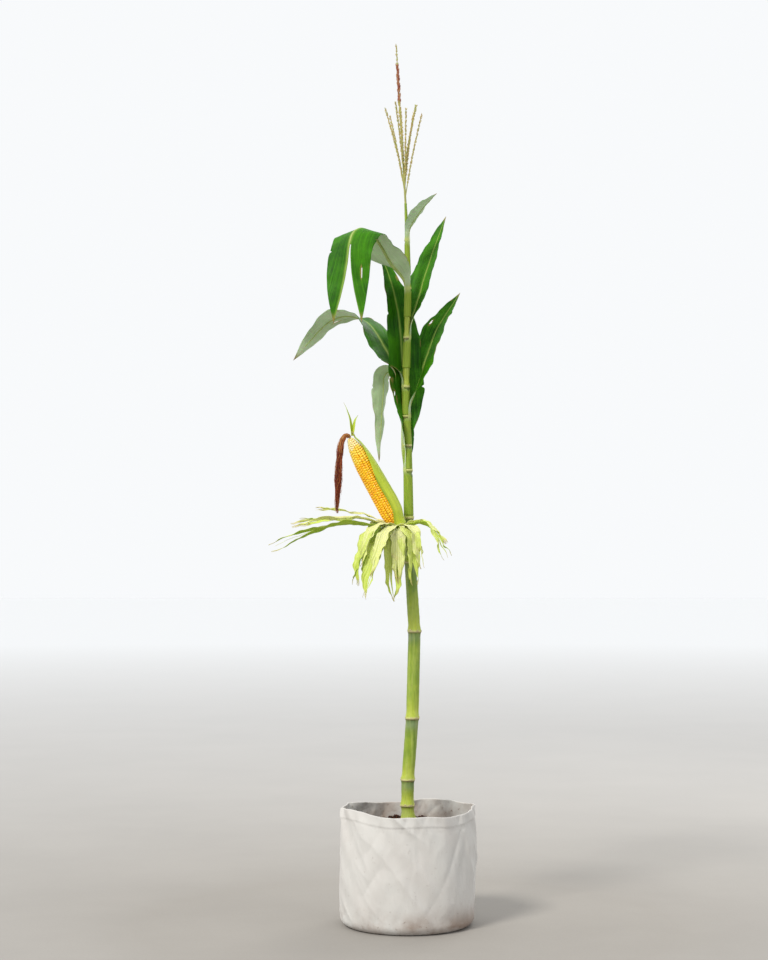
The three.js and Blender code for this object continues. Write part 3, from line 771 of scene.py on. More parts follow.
def leaf_values(leaf, number, t, s, near_hole):
    """Values that place a leaf's colours: midrib, collar, dry tip and margins, and the veins' places."""
    q = np.linspace(0, 1, SHEATH_ROWS, endpoint=False)
    along = np.concatenate([(q - 1) * (leaf.z - leaf.sheath), t * leaf.length])[:, None]
    share = np.concatenate([np.zeros(SHEATH_ROWS), t])[:, None]
    across = leaf.width / 2 * blade_width(share, leaf) * s
    rib_width = lerp(4.0, 1.2, share) * (leaf.width / 90)
    rib = bell(across, rib_width) * smooth((along + 20) / 30) * (1 - 0.5 * share)
    edge = np.abs(s)
    spots = noise_at(np.stack(np.broadcast_arrays(across, along, number * 50.0), -1), 34)
    dry = smooth((share - 0.94) / 0.06) + smooth((edge - 0.94) / 0.06) * smooth((spots - 0.1) / 0.3) * 0.7
    dry = np.clip(dry + smooth((spots - 0.55) / 0.1) * smooth((edge - 0.6) / 0.3) * 0.8, 0, 1)
    dry = dry * smooth(along / 40)
    dry[SHEATH_ROWS:] = np.maximum(dry[SHEATH_ROWS:], smooth((1.9 - near_hole) / 0.9))
    return {"across_mm": across, "along_mm": along, "number": number, "rib": np.clip(rib, 0, 1),
            "collar": 0.8 * bell(along - 2, 6), "dry": dry}


def add_leaf(leaf, number):
    """One leaf: a thin sheet with its sheath, and the midrib that stands out below it."""
    rng = np.random.default_rng(SEED + 40 + number)
    rows = max(90, int(leaf.length / 2.6))
    t = np.linspace(0, 1, rows)
    s = np.linspace(-1, 1, LEAF_COLUMNS)
    points = leaf_grid(leaf, t, s, nibbled_margins(t, s, rng))
    steady = smooth((np.arange(len(points)) - SHEATH_ROWS - 18) / 30)[:, None]
    buckle = noise_at(points, 42, number * 3.1) + 0.25 * noise_at(points, 13, number * 1.7)
    normals = sheet_normals(points)
    points = points + normals * (1.8 * buckle * steady)[..., None]
    faces = grid_faces(len(points), LEAF_COLUMNS)
    row, column = np.divmod(faces[:, 0], LEAF_COLUMNS)
    near_hole = hole_distance(t, s, leaf, rng)
    keep = (row < SHEATH_ROWS) | (near_hole[np.maximum(row - SHEATH_ROWS, 0), column] > 1)
    if leaf.slit is not None:
        seam, start, _ = leaf.slit
        seam_column = int(np.searchsorted(s, seam)) - 1
        first_row = SHEATH_ROWS + int(start * (rows - 1)) + 1
        keep &= ~((column == seam_column) & (row >= first_row))
    shape = Shape()
    shape.add(points, faces[keep], **leaf_values(leaf, number, t, s, near_hole))
    add_piece(leaf.name + "_blade", shape, [LEAF_UPPER, LEAF_UNDER], leaf.nodes, LEAF_SKIN)
    middle = LEAF_COLUMNS // 2
    add_midrib(leaf, points[SHEATH_ROWS:, middle], normals[SHEATH_ROWS:, middle], t)


def add_midrib(leaf, path, normals, t):
    """The midrib's ridge: a slim rod sunk into the underside of the blade."""
    used = t < (0.9 if leaf.slit is None else leaf.slit[1])
    radii = lerp(3.4, 0.7, t[used] ** 0.7) * leaf.width / 95 * smooth((t[used] + 0.03) / 0.06)
    start = smooth(t[used] * leaf.length / 60)
    path = path[used] - normals[used] * (radii * 0.55 + LEAF_SKIN)[:, None] * start[:, None]
    shape = Shape()
    shape.add_tube(path, radii * (0.35 + 0.65 * start), 10)
    add_piece(leaf.name + "_midrib", shape, [MIDRIB])


# Stalk


def add_stalk():
    """The cane: swollen rings at the joints, a bright band just above each joint, and painted shade just
    below each joint and towards the stalk's foot.
    """
    heights = np.linspace(JOINTS[0, 0], JOINTS[-1, 0], STALK_ROWS)[:, None]
    x, y, radius = stalk_at(heights)
    rings = JOINTS[1:-1, 0]
    nearest = rings[np.argmin(np.abs(heights - rings), axis=1)][:, None]
    above = np.min(np.where(heights >= rings, heights - rings, 999), axis=1, keepdims=True)
    below = np.min(np.where(heights <= rings, rings - heights, 999), axis=1, keepdims=True)
    swell = 2.1 * bell(heights - nearest, 4.2) + 0.9 * bell(above - 7, 6)
    waist = -0.5 * bell(above - 22, 12)
    angle = circle_angles(STALK_COLUMNS)
    oval = 1 + 0.025 * np.cos(2 * angle) + 0.012 * np.cos(7 * angle + heights / 260)
    internode = np.searchsorted(rings, heights)
    groove = 1 - np.cos(angle - (internode * math.pi + 0.6))
    clear = smooth((np.minimum(above, below) - 12) / 25)
    reach = (radius - 0.3 + swell + waist) * oval
    reach = reach - 0.9 * np.exp(-groove / 0.05) * clear * smooth((heights - 500) / 200)
    buds = bell(above - 5.5, 2.2) * (heights < 400)
    reach = reach + 1.1 * buds * np.maximum(0, np.cos(9 * angle + internode)) ** 3
    points = around(x, y, reach, angle, heights)
    points[..., :2] += (0.35 * noise_at(points, 9))[..., None] * around(0, 0, 1, angle, 0)[..., :2]
    mottle = 0.5 + 0.5 * noise_at(points * (1, 1, 0.3), 30, 7.0)
    # Painted shade: darker just below each joint and towards the stalk's foot, broken up by the mottle.
    dark = 0.9 * bell(below, 34) + 0.35 * smooth((500 - heights) / 250)
    shape = Shape()
    shape.add_wrapped(
        points, ring=bell(heights - 1 - nearest, 2.6), fresh=0.75 * bell(above - 12, 26),
        shade=np.clip(dark * (0.55 + 0.7 * mottle), 0, 1),
        bloom=0.28 * bell(below - 16, 12) * smooth((mottle - 0.2) / 0.5),
        scar=0.8 * bell(below - 2.6, 1.6) * smooth((mottle - 0.3) / 0.3))
    add_piece("stalk_cane", shape, [STALK], ("stalk",))


def add_sheath_stubs(rng):
    """Torn remains of the sheaths: a thin ragged pale frill at each bare joint."""
    columns = 96
    rows = 5
    angle = circle_angles(columns)
    share = np.linspace(0, 1, rows)[:, None]
    shape = Shape()
    for index in range(2, BARE_JOINTS):
        z = JOINTS[index, 0]
        circle = around(0, 0, 20, angle, z)
        torn = np.maximum(0, noise_at(circle, 8, index)) * 9
        torn = torn + np.maximum(0, noise_at(circle, 2.6, index + 5)) * 3
        height = 1.6 + torn + rng.uniform(0, 0.5, columns)
        spread = 0.4 + 0.6 * np.abs(noise_at(circle, 11, index + 9))
        points = wrap_points(z - 1.8 + share * height, angle, 1.9 + 2.2 * spread * share ** 1.4)
        shape.add(points, grid_faces(rows, columns, wrap=True)[:, ::-1])
    add_piece("sheath_stubs", shape, [SHEATH_STUB], skin=STUB_SKIN)


def add_prop_roots(rng):
    """Short roots that brace the stalk's foot, each bent down into the soil."""
    shape = Shape()
    _, x, y, radius = JOINTS[1]
    t = np.linspace(0, 1, 22)[:, None]
    for index in range(ROOT_COUNT):
        angle = index / ROOT_COUNT * FULL_TURN + 0.3 * math.sin(5 * index)
        outward = towards(angle)
        reach = ROOT_REACH + ROOT_REACH_SPREAD * math.cos(angle)
        start = np.array([x, y, ROOT_TOP]) + outward * radius * 0.5
        shoulder = start + outward * reach * 0.5 + np.array([0, 0, -5])
        end = start + outward * reach
        end[2] = SOIL_LEVEL - 6
        path = bow(start, shoulder, end, t) + np.sin(t * 9 + index) * np.cross(outward, (0, 0, 1)) * 0.9
        radii = lerp(*ROOT_RADII, t[:, 0]) * (1 + 0.08 * rng.standard_normal(22))
        shape.add_tube(path, radii, 12, tip=smooth((t[:, 0] - 0.6) / 0.4))
    add_piece("prop_roots", shape, [PROP_ROOT])


# Ear


def cob_radius(share):
    foot = lerp(0.74, 1, smooth(share / 0.16))
    tip = np.sqrt(np.maximum(0.06, 1 - np.maximum(0, (share - 0.5) / 0.5) ** 2.6))
    return EAR_RADIUS * foot * (1 - 0.16 * share) * tip


def kernel_template():
    """A plump kernel as a rounded box: points in -1..1 and its faces."""
    rings = 9
    sides = 14
    points = [(0, 0, -1)]
    for ring in range(1, rings):
        polar = math.pi * ring / rings
        for side in range(sides):
            angle = FULL_TURN * side / sides
            corner = [math.sin(polar) * math.cos(angle), math.sin(polar) * math.sin(angle), -math.cos(polar)]
            points.append([math.copysign(abs(c) ** 0.62, c) for c in corner])
    points.append((0, 0, 1))
    top = len(points) - 1
    last = 1 + (rings - 2) * sides
    faces = [[0, 1 + (side + 1) % sides, 1 + side] for side in range(sides)]
    faces += (1 + grid_faces(rings - 1, sides, wrap=True)[:, [0, 3, 2, 1]]).tolist()
    faces += [[top, last + side, last + (side + 1) % sides] for side in range(sides)]
    return np.array(points, dtype=float), faces


def add_cob(rng):
    """The cob's core and its rows of kernels, which shrink and turn pale towards the tip."""
    right = unit(np.cross(EAR_AXIS, (0, 0, 1.0)))
    front = np.cross(EAR_AXIS, right)
    t = np.linspace(0, 1, 60)
    core = Shape()
    core.add_tube(EAR_BASE + EAR_AXIS * (t[:, None] * EAR_LENGTH), cob_radius(t) - 4.2, 36)
    add_piece("cob_core", core, [COB_CORE], ("cob",))
    template, faces = kernel_template()
    crown = np.array([template[face, 2].mean() > 0.12 for face in faces])
    dent = 1 - 0.1 * np.exp(-(template[:, 0] ** 2 + template[:, 1] ** 2) / 0.2) * (template[:, 2] > 0)
    shape = Shape()
    for row in range(EAR_ROWS):
        angle = FULL_TURN * row / EAR_ROWS
        along = 1.5 + (row % 2) * KERNEL_PITCH * 0.42 + rng.uniform(0, 1.2)
        while along < EAR_LENGTH - 3:
            share = along / EAR_LENGTH
            radius = cob_radius(share)
            small = np.clip(radius / 20, 0.3, 1)
            pitch = KERNEL_PITCH * lerp(0.62, 1, small) * rng.uniform(0.94, 1.06)
            slope = max((cob_radius(min(share + 0.01, 1)) - radius) / (0.01 * EAR_LENGTH), -STEEPEST_COB)
            turn = angle + rng.normal(0, 0.012) + 0.05 * math.sin(share * 5 + row)
            outward = right * math.cos(turn) + front * math.sin(turn)
            tangent = unit(EAR_AXIS + outward * slope)
            normal = unit(outward - EAR_AXIS * slope)
            wide = math.pi * (radius - 1.2) / EAR_ROWS * 0.985
            tall = pitch * 0.52
            depth = 4.6 * lerp(0.5, 1, small)
            centre = EAR_BASE + EAR_AXIS * along + outward * (radius - depth * 0.98) + rng.normal(0, 0.12, 3)
            points = (centre + np.cross(normal, tangent) * template[:, :1] * wide
                      + tangent * template[:, 1:2] * tall + normal * (template[:, 2] * dent)[:, None] * depth)
            cream = rng.uniform() < smooth((share - 0.84) / 0.09)
            pale = rng.uniform() < smooth((share - 0.66) / 0.2)
            tone = 4 if cream else 3 if pale else int(rng.choice([0, 1, 2], p=(0.42, 0.4, 0.18)))
            # Flank faces take the deeper groove tones: painted shade in the gaps between kernels.
            shape.add(points, faces, np.where(crown, tone, 6 if cream or pale else 5))
            along += pitch
    add_piece("kernels", shape, KERNEL_TONES)


def curve_through(points, count):
    """A smooth path through a few points, sampled evenly."""
    points = np.asarray(points, dtype=float)
    padded = np.vstack([2 * points[0] - points[1], points, 2 * points[-1] - points[-2]])
    u = np.linspace(0, 1, 24, endpoint=False)[:, None]
    path = []
    for index in range(1, len(padded) - 2):
        p0, p1, p2, p3 = padded[index - 1:index + 3]
        path.append(0.5 * (2 * p1 + (p2 - p0) * u + (2 * p0 - 5 * p1 + 4 * p2 - p3) * u ** 2
                           + (3 * p1 - p0 - 3 * p2 + p3) * u ** 3))
    path = np.vstack(path + [points[-1:]])
    lengths = path_lengths(path)
    return points_at(np.linspace(0, lengths[-1], count), lengths, path)


def add_shank():
    end = EAR_BASE - EAR_AXIS * SEATING_GAP
    path = curve_through([*SHANK_POINTS, end - EAR_AXIS * 28, end], SHANK_STEPS)
    t = np.linspace(0, 1, SHANK_STEPS)
    radii = lerp(SHANK_STALK_RADIUS, SHANK_TOP_RADIUS, smooth((t - 0.35) / 0.55))
    ring = 0
    for joint, swell in zip(SHANK_JOINTS, (0.9, 0.7)):
        radii = radii + swell * bell(t - joint, 0.03)
        ring = ring + bell(t - joint, 0.02)
    shape = Shape()
    # The shade value is painted shade, darkest where the shank leaves the stalk and fading towards the ear.
    shape.add_tube(path, radii, 28, ring=0.7 * ring, fresh=0.6 * smooth(t), shade=0.4 * (1 - t),
                   bloom=0, scar=0)
    add_piece("ear_shank_cane", shape, [STALK], ("ear_shank",))


def husk_sheet(husk, number, rng, looks, nodes=(), slits=2, up=HUSK_UP):
    """One peeled husk: a ribbed sheet with curled margins and a torn end."""
    rows = max(50, int(husk.length / 2.8))
    t = np.linspace(0, 1, rows)
    s = np.linspace(-1, 1, HUSK_COLUMNS)
    foot = EAR_BASE + towards(math.radians(husk.side)) * (SHANK_TOP_RADIUS - 2) + np.array([0, 0, up])
    points = blade_points(husk, foot, t, s)
    t = t[:, None]
    normals = sheet_normals(points)
    curl = 5.5 * np.sin(t * 7 + number) * np.abs(s) ** 3 * smooth(t / 0.4)
    crinkle = noise_at(points, 17, number * 5.3) * 2.2 * smooth(t / 0.2)
    half = blade_width(t, husk) * husk.width / 2
    ribs = 0.5 * np.sin(half * s * FULL_TURN / 5.2) * smooth(half / 8)
    points = points + normals * (curl + crinkle + ribs)[..., None]
    faces = grid_faces(rows, HUSK_COLUMNS)
    row, column = np.divmod(faces[:, 0], HUSK_COLUMNS)
    keep = np.ones(len(faces), bool)
    for _ in range(slits):
        seam = int(rng.integers(9, HUSK_COLUMNS - 10))
        start = rng.uniform(0.45, 0.72)
        keep &= ~((column == seam) & (row > start * rows))
        part = smooth((t - start) / (1 - start))
        sign = np.where(np.arange(HUSK_COLUMNS) > seam, 1.0, -1.0)
        across = unit(points[:, -1] - points[:, 0])[:, None, :]
        points = points + across * (sign * part * half * rng.uniform(0.15, 0.5))[..., None]
        points = points + normals * (sign * part * rng.uniform(2, 7))[..., None]
    ragged = 0.955 + 0.045 * np.sin(np.arange(HUSK_COLUMNS) * 0.7 + rng.uniform(0, 6))
    keep &= row < (rows - 1) * ragged[column]
    across_mm = half * s
    along_mm = t * husk.length
    spots = noise_at(np.stack(np.broadcast_arrays(across_mm, along_mm, number * 40.0), -1), 22)
    dry = np.clip(smooth((t - 0.86) / 0.12) * 0.8 + smooth((spots - 0.4) / 0.2) * 0.5 * t, 0, 1)
    shape = Shape()
    shape.add(points, faces[keep], across_mm=across_mm, along_mm=along_mm, number=number, share=t, dry=dry)
    add_piece(husk.name, shape, looks, nodes, HUSK_SKIN)


def add_husks(rng):
    """Each peeled husk in two layers: an outer one, and a narrower pale one that lies on it."""
    for number, husk in enumerate(HUSKS):
        outer = replace(husk, name=husk.name + "_outer")
        husk_sheet(outer, number, rng, [HUSK_INNER, HUSK_OUTER], (husk.name,))
        inner = replace(husk, name=husk.name + "_inner", width=husk.width * 0.74, length=husk.length * 0.82,
                        side=husk.side + 9, rise=husk.rise + 9, droop=max(husk.droop + 10, -84),
                        twist=husk.twist * 0.5)
        husk_sheet(inner, number + 20, rng, [HUSK_PALE, HUSK_PALE], slits=1, up=INNER_HUSK_UP)


def add_back_husk():
    """The green husk that still hugs the stalk's side of the cob, with the leaflets at the ear's tip."""
    outward = unit(BACK_HUSK_SIDE - EAR_AXIS * np.dot(BACK_HUSK_SIDE, EAR_AXIS))
    across = np.cross(outward, EAR_AXIS)
    rows = 90
    columns = 25
    t = np.linspace(0, 1, rows)[:, None]
    s = np.linspace(-1, 1, columns)
    height = BACK_HUSK_FOOT - BACK_HUSK_LAP + t * (BACK_HUSK_LENGTH + BACK_HUSK_LAP)
    share = height / EAR_LENGTH
    lift = lerp(1.2, 6.2, smooth((height + 5) / 80)) + 0.8 * smooth((t - 0.8) / 0.2)
    radius = cob_radius(np.clip(share, 0, 0.97)) + lift
    half = BACK_HUSK_WIDTH * (1 - 0.78 * smooth((t - 0.42) / 0.58)) / 2 * 1.15
    angle = half * s / (radius + 2)
    reach = radius + 0.8 * np.sin(t * 21 + s * 2) * np.abs(s) ** 3
    centre = EAR_BASE + EAR_AXIS * (share * EAR_LENGTH)[..., None]
    points = (centre + outward * (reach * np.cos(angle))[..., None]
              + across * (reach * np.sin(angle))[..., None])
    shape = Shape()
    shape.add(points, grid_faces(rows, columns), across_mm=half * s, along_mm=share * EAR_LENGTH, number=31,
              share=t, dry=smooth((t - 0.93) / 0.07))
    add_piece("husk_back_sheet", shape, [HUSK_GREEN, HUSK_PALE], ("husk_back",), HUSK_SKIN)
    tip = EAR_BASE + EAR_AXIS * (BACK_HUSK_FOOT + BACK_HUSK_LENGTH - 10) + outward * cob_radius(0.97)
    for number, leaflet in enumerate(TIP_LEAFLETS):
        add_tip_leaflet(leaflet, number, tip, outward)


def add_tip_leaflet(leaflet, number, foot, outward):
    rows = 40
    columns = 9
    t = np.linspace(0, 1, rows)
    s = np.linspace(-1, 1, columns)
    points = blade_points(leaflet, foot, t, s)
    t = t[:, None]
    points = points + (noise_at(points, 30, number) * 3 * t)[..., None] * outward
    shape = Shape()
    shape.add(points, grid_faces(rows, columns), across_mm=s * 6, along_mm=40 + 80 * t, number=40 + number,
              share=t, dry=smooth((t - 0.8) / 0.2))
    add_piece(leaflet.name, shape, [HUSK_GREEN, HUSK_OUTER], skin=LEAFLET_SKIN)


def add_silk(rng):
    """Silk: many fine strands out of the ear's tip, which arch over in a bundle and part as they hang."""
    root = EAR_TIP + EAR_AXIS * SEATING_GAP
    spine = curve_through([root, EAR_TIP + EAR_AXIS * SILK_EXIT, *SILK_HANG], SILK_STEPS)
    tangents = unit(np.gradient(spine, axis=0))
    aside = unit(np.cross(tangents, (0.2, 1, 0.1)))
    beside = np.cross(tangents, aside)
    t = np.linspace(0, 1, SILK_STEPS)
    bundle = np.interp(t, np.linspace(0, 1, len(SILK_RADII)), SILK_RADII)
    shape = Shape()
    for strand in range(SILK_STRANDS):
        angle = rng.uniform(0, FULL_TURN)
        reach = bundle * (math.sqrt(rng.uniform(0, 1)) * rng.choice([1.0, 1.0, 1.0, 1.5]))
        swirl = angle + rng.normal(0, 0.9) * t + 0.5 * np.sin(t * rng.uniform(5, 14) + strand)
        offset = reach[:, None] * (np.cos(swirl)[:, None] * aside + np.sin(swirl)[:, None] * beside)
        kink = np.stack([np.sin(t * rng.uniform(18, 40) + rng.uniform(0, 6)) for _ in range(3)], -1)
        path = spine + offset + kink * 1.3 * smooth(t / 0.3)[:, None]
        length = int(rng.uniform(0.5, 1.0) * SILK_STEPS)
        tones = np.full((length - 1) * 4 + 2, rng.choice(4, p=(0.4, 0.36, 0.16, 0.08)))
        tones[:int(rng.uniform(6, 16)) * 4] = rng.choice((2, 3), p=(0.7, 0.3))
        shape.add_tube(path[:length], lerp(0.5, 0.26, t[:length]), 4, tones)
    add_piece("silk_strands", shape, SILK_TONES, ("silk",))


# Tassel


def spike_point(z):
    """Points of the tassel's middle stem at heights z."""
    share = (z - TASSEL_FOOT) / (TASSEL_TOP - TASSEL_FOOT)
    return np.stack([lerp(JOINTS[-1, 1], TASSEL_TOP_X, share), 0 * share, z + 0 * share], -1)


def spikelet_template():
    """A pointed flower scale: a slim closed spindle along +Z from 0 to 1."""
    rings = [(0.0, 0.12), (0.18, 0.75), (0.42, 1.0), (0.7, 0.66), (0.92, 0.2)]
    sides = 6
    points = [[r * math.cos(FULL_TURN * k / sides), r * math.sin(FULL_TURN * k / sides), z]
              for z, r in rings for k in range(sides)]
    points.append([0, 0, 1])
    last = (len(rings) - 1) * sides
    faces = [list(range(sides))[::-1]]
    faces += grid_faces(len(rings), sides, wrap=True)[:, [0, 3, 2, 1]].tolist()
    faces += [[last + side, last + (side + 1) % sides, len(points) - 1] for side in range(sides)]
    return np.array(points, dtype=float), faces


def add_spikelets(shape, path, spacing, size, rng, tones, anthers=0.0):
    """Pairs of scales along a branch, pressed towards its tip, and anthers that hang from some of them."""
    template, faces = spikelet_template()
    lengths = path_lengths(path)
    for step, place in enumerate(np.arange(spacing, lengths[-1], spacing)):
        point = points_at(place, lengths, path)
        ahead = points_at(min(place + 2, lengths[-1]), lengths, path)
        tangent = unit(ahead - point + np.array([0, 0, 1e-6]))
        aside = unit(np.cross(tangent, (0.3, 0.9, 0.2)))
        for side in range(2):
            angle = step * 1.9 + side * math.pi + rng.normal(0, 0.3)
            outward = aside * math.cos(angle) + np.cross(tangent, aside) * math.sin(angle)
            axis = unit(tangent + outward * rng.uniform(0.22, 0.5))
            wide = unit(np.cross(axis, (0.1, 0.7, 0.3)))
            scale = size * rng.uniform(0.8, 1.15)
            points = (point + outward * 0.7 + template[:, 2:3] * axis * scale
                      + template[:, :1] * wide * scale * 0.19
                      + template[:, 1:2] * np.cross(axis, wide) * scale * 0.15)
            shape.add(points, faces, int(rng.choice(tones)))
            if rng.uniform() < anthers:
                drop = unit(np.array([0, 0, -1.0]) + 0.5 * outward + 0.2 * rng.standard_normal(3))
                hung = (point + axis * scale * 0.55 + outward * 1.2 + template[:, 2:3] * drop * 4.6
                        + template[:, :1] * wide * 0.5 + template[:, 1:2] * np.cross(drop, wide) * 0.5)
                shape.add(hung, faces, ANTHER_TONE)


def tassel_branch_path(index):
    outward = towards(index * GOLDEN_ANGLE)
    length = 232 - index * 5
    lean = math.radians(8 + 3 * math.sin(index * 2))
    start = spike_point(np.array(1900.0 + index * 8))
    middle = start + outward * math.sin(lean) * length * 0.5 + np.array([0, 0, length * 0.5])
    end = start + outward * (math.sin(lean) * length + 12) + np.array([0, 0, length * 0.97])
    return bow(start, middle, end, np.linspace(0, 1, 40)[:, None])


def add_tassel(rng):
    """Tassel: thin straw-coloured branches and a spike, all set with flower scales."""
    stems = Shape()
    scales = Shape()
    spike = spike_point(np.linspace(TASSEL_FOOT - 8, TASSEL_TOP, 90))
    stems.add_tube(spike, lerp(3.0, 0.8, np.linspace(0, 1, 90)), 10)
    add_spikelets(scales, spike[34:58], 4.4, 9, rng, (0, 1, 2))
    add_spikelets(scales, spike[56:78], 3.8, 11.5, rng, (3, 4))
    add_spikelets(scales, spike[77:], 4.6, 6, rng, (1, 2))
    for index in range(TASSEL_BRANCHES):
        path = tassel_branch_path(index)
        stems.add_tube(path, lerp(1.5, 0.6, np.linspace(0, 1, 40)), 8)
        add_spikelets(scales, path[6:], 4.4, 6.6, rng, (0, 0, 1, 2), 0.22)
    add_piece("tassel_stems", stems, [TASSEL_STEM], ("tassel",))
    add_piece("tassel_scales", scales, TASSEL_TONES)


# Grow bag and soil


def bag_crease(angle, z):
    """The bag's wide waves and its belly, which grow with the height."""
    rise = np.clip(z / BAG_HEIGHT, 0, 1)
    waves = 3 * np.sin(3 * angle + 0.6) + 1.8 * np.sin(7 * angle + 2) + 1.2 * np.sin(11 * angle)
    return waves * rise + BAG_BELLY * np.sin(math.pi * rise)


def slanted_folds(angle, z, slant, scale, seed):
    """Long creases that climb round the bag at a slant, sharp along their crests."""
    skin = around(0, 0, BAG_RADIUS, angle + z * slant / BAG_RADIUS, 0.32 * z)
    skin = skin + 24 * np.stack([noise_at(skin, 85, seed + shift) for shift in (1.0, 5.0, 8.0)], -1)
    return 1 - 2.1 * np.abs(noise_at(skin, scale, seed)) ** 0.8


def bag_crumple(angle, z):
    """Sharp soft folds, as fabric takes when it is filled and set down."""
    ridges = slanted_folds(angle, z, 0.75, 70, 3.0)
    valleys = slanted_folds(angle, z, -0.35, 52, 19.0)
    small = slanted_folds(angle, z, 0.2, 22, 34.0)
    rising = smooth(slanted_folds(angle, z, 0.1, 95, 47.0) * 0.5 + 0.5)
    return 6.6 * ridges * rising - 5.4 * valleys * (1.15 - rising) + 1.5 * small - 1.4


def bag_reach(angle, z):
    """Distance from the bag's axis to its outer face, which is round at the foot and folded above it."""
    sink = np.maximum(0, 1 - z / BAG_FOOT_ROUND)
    wall = BAG_RADIUS - BAG_FOOT_ROUND * (1 - np.sqrt(np.maximum(0, 1 - sink ** 2)))
    crumple = bag_crumple(angle, z) * smooth((z - 4) / 40) * (0.65 + 0.5 * smooth((z - 230) / 60))
    return wall - BAG_INSET + bag_crease(angle, z) * smooth(z / 14) + crumple - FOLD_INSET


def add_bag():
    """The bag: one closed shell of thin fabric, with a turned-over hem at the rim."""
    angle = circle_angles(BAG_COLUMNS)
    level = np.concatenate([np.linspace(0, 1, 6) * 0.8, np.linspace(2, BAG_HEIGHT, 110)])[:, None]
    rim_wave = 5 * np.sin(2 * angle + 0.7) + 3 * np.sin(5 * angle + 1.9)
    z = level + rim_wave * smooth((level - SOIL_LEVEL) / (BAG_HEIGHT - 34 - SOIL_LEVEL))
    reach = bag_reach(angle, level)
    hem = 1.5 * smooth((level - (BAG_HEIGHT - HEM_DEPTH)) / 2.5)
    outer = around(0, 0, reach + hem, angle, z)
    inner_rows = slice(len(level) - 1, len(level) - 32, -1)
    inner_reach = (reach - BAG_SKIN)[inner_rows]
    inner_z = z[inner_rows] - 0.4
    inner = around(0, 0, inner_reach, angle, inner_z)
    floor_shares = np.array([0.96, 0.9, 0.5, 0.1])[:, None]
    floor = around(0, 0, inner_reach[-1] * floor_shares, angle, inner_z[-1] - 4)
    under_shares = np.array([0.1, 0.5, 0.85])[:, None]
    under = around(0, 0, (BAG_RADIUS - BAG_FOOT_ROUND) * under_shares, angle, 0)
    points = np.concatenate([under, outer, inner, floor])
    inside = (np.arange(len(points)) >= len(under) + len(outer))[:, None]
    soiled_inside = 0.6 + 0.6 * smooth((BAG_HEIGHT + 4 - points[..., 2]) / 60)
    soiled_foot = 0.7 * smooth((80 - points[..., 2]) / 80) + 0.2
    stain = np.clip(np.where(inside, soiled_inside, soiled_foot), 0, 1)
    shape = Shape()
    shape.add_wrapped(points, around_mm=angle * BAG_RADIUS, height_mm=points[..., 2], stain=stain)
    add_piece("grow_bag_shell", shape, [BAG], ("grow_bag",))


def soil_height(x, y):
    radius = np.hypot(x, y)
    share = smooth((radius - 75) / 40) * smooth((BAG_RADIUS - radius) / 20)
    return SOIL_LEVEL + 5 * share * (np.sin(x / 13 + 1) * np.cos(y / 17) + 0.6 * np.sin((x + y) / 9))


def soil_edge(angle):
    """Distance from the middle to the bag's inner face at the level of the soil."""
    return bag_reach(angle, SOIL_LEVEL) - BAG_SKIN


def add_soil_bed():
    """The soil's face, with the lumps of the solid and finer clods, and a skirt down inside the bag."""
    angle = circle_angles(200)
    share = np.linspace(0.02, 1, 70)[:, None]
    edge = soil_edge(angle)
    x = share * edge * np.cos(angle)
    y = share * edge * np.sin(angle)
    spot = np.stack([x, y, 0 * x], -1)
    clods = 2.6 * np.abs(noise_at(spot, 11)) + 1.6 * noise_at(spot, 4.5, 2.0) + 2.0 * noise_at(spot, 32, 5.0)
    top = np.stack([x, y, soil_height(x, y) + clods * smooth((1 - share) / 0.03 + 0.2) - 1.5], -1)
    skirt = np.stack([0.94 * x[-1:], 0.94 * y[-1:], 0 * x[-1:] + SOIL_LEVEL - 16], -1)
    shape = Shape()
    shape.add_wrapped(np.concatenate([top, skirt])[::-1])
    add_piece("soil_bed", shape, [SOIL], ("soil",))


def crumb_template():
    """A crumb as an icosahedron: its points and faces."""
    phi = (1 + math.sqrt(5)) / 2
    points = [(-1, phi, 0), (1, phi, 0), (-1, -phi, 0), (1, -phi, 0), (0, -1, phi), (0, 1, phi),
              (0, -1, -phi), (0, 1, -phi), (phi, 0, -1), (phi, 0, 1), (-phi, 0, -1), (-phi, 0, 1)]
    faces = [(0, 11, 5), (0, 5, 1), (0, 1, 7), (0, 7, 10), (0, 10, 11), (1, 5, 9), (5, 11, 4), (11, 10, 2),
             (10, 7, 6), (7, 1, 8), (3, 9, 4), (3, 4, 2), (3, 2, 6), (3, 6, 8), (3, 8, 9), (4, 9, 5),
             (2, 4, 11), (6, 2, 10), (8, 6, 7), (9, 8, 1)]
    return unit(np.array(points, dtype=float)), faces


def add_crumbs(rng):
    """Loose crumbs of soil, with a few pale bits among them."""
    template, faces = crumb_template()
    shape = Shape()
    edges = soil_edge(np.arange(360) * math.pi / 180)
    for _ in range(CRUMBS):
        angle = rng.uniform(0, FULL_TURN)
        radius = (edges[int(math.degrees(angle)) % 360] - 4) * math.sqrt(rng.uniform(0.0, 1))
        x = radius * math.cos(angle)
        y = radius * math.sin(angle)
        tone = int(rng.choice(5, p=(0.36, 0.34, 0.18, 0.08, 0.04)))
        size = rng.uniform(0.8, 3.1 if tone < 3 else 1.9) ** 1.35 * 0.54 + 0.35
        lumpy = template * (1 + 0.28 * rng.standard_normal((len(template), 1))) * rng.uniform(0.7, 1.2, 3)
        centre = np.array([x, y, soil_height(x, y) + 1.1 * size - 0.6])
        shape.add(centre + lumpy * size, faces, tone)
    add_piece("soil_crumbs", shape, CRUMB_TONES)


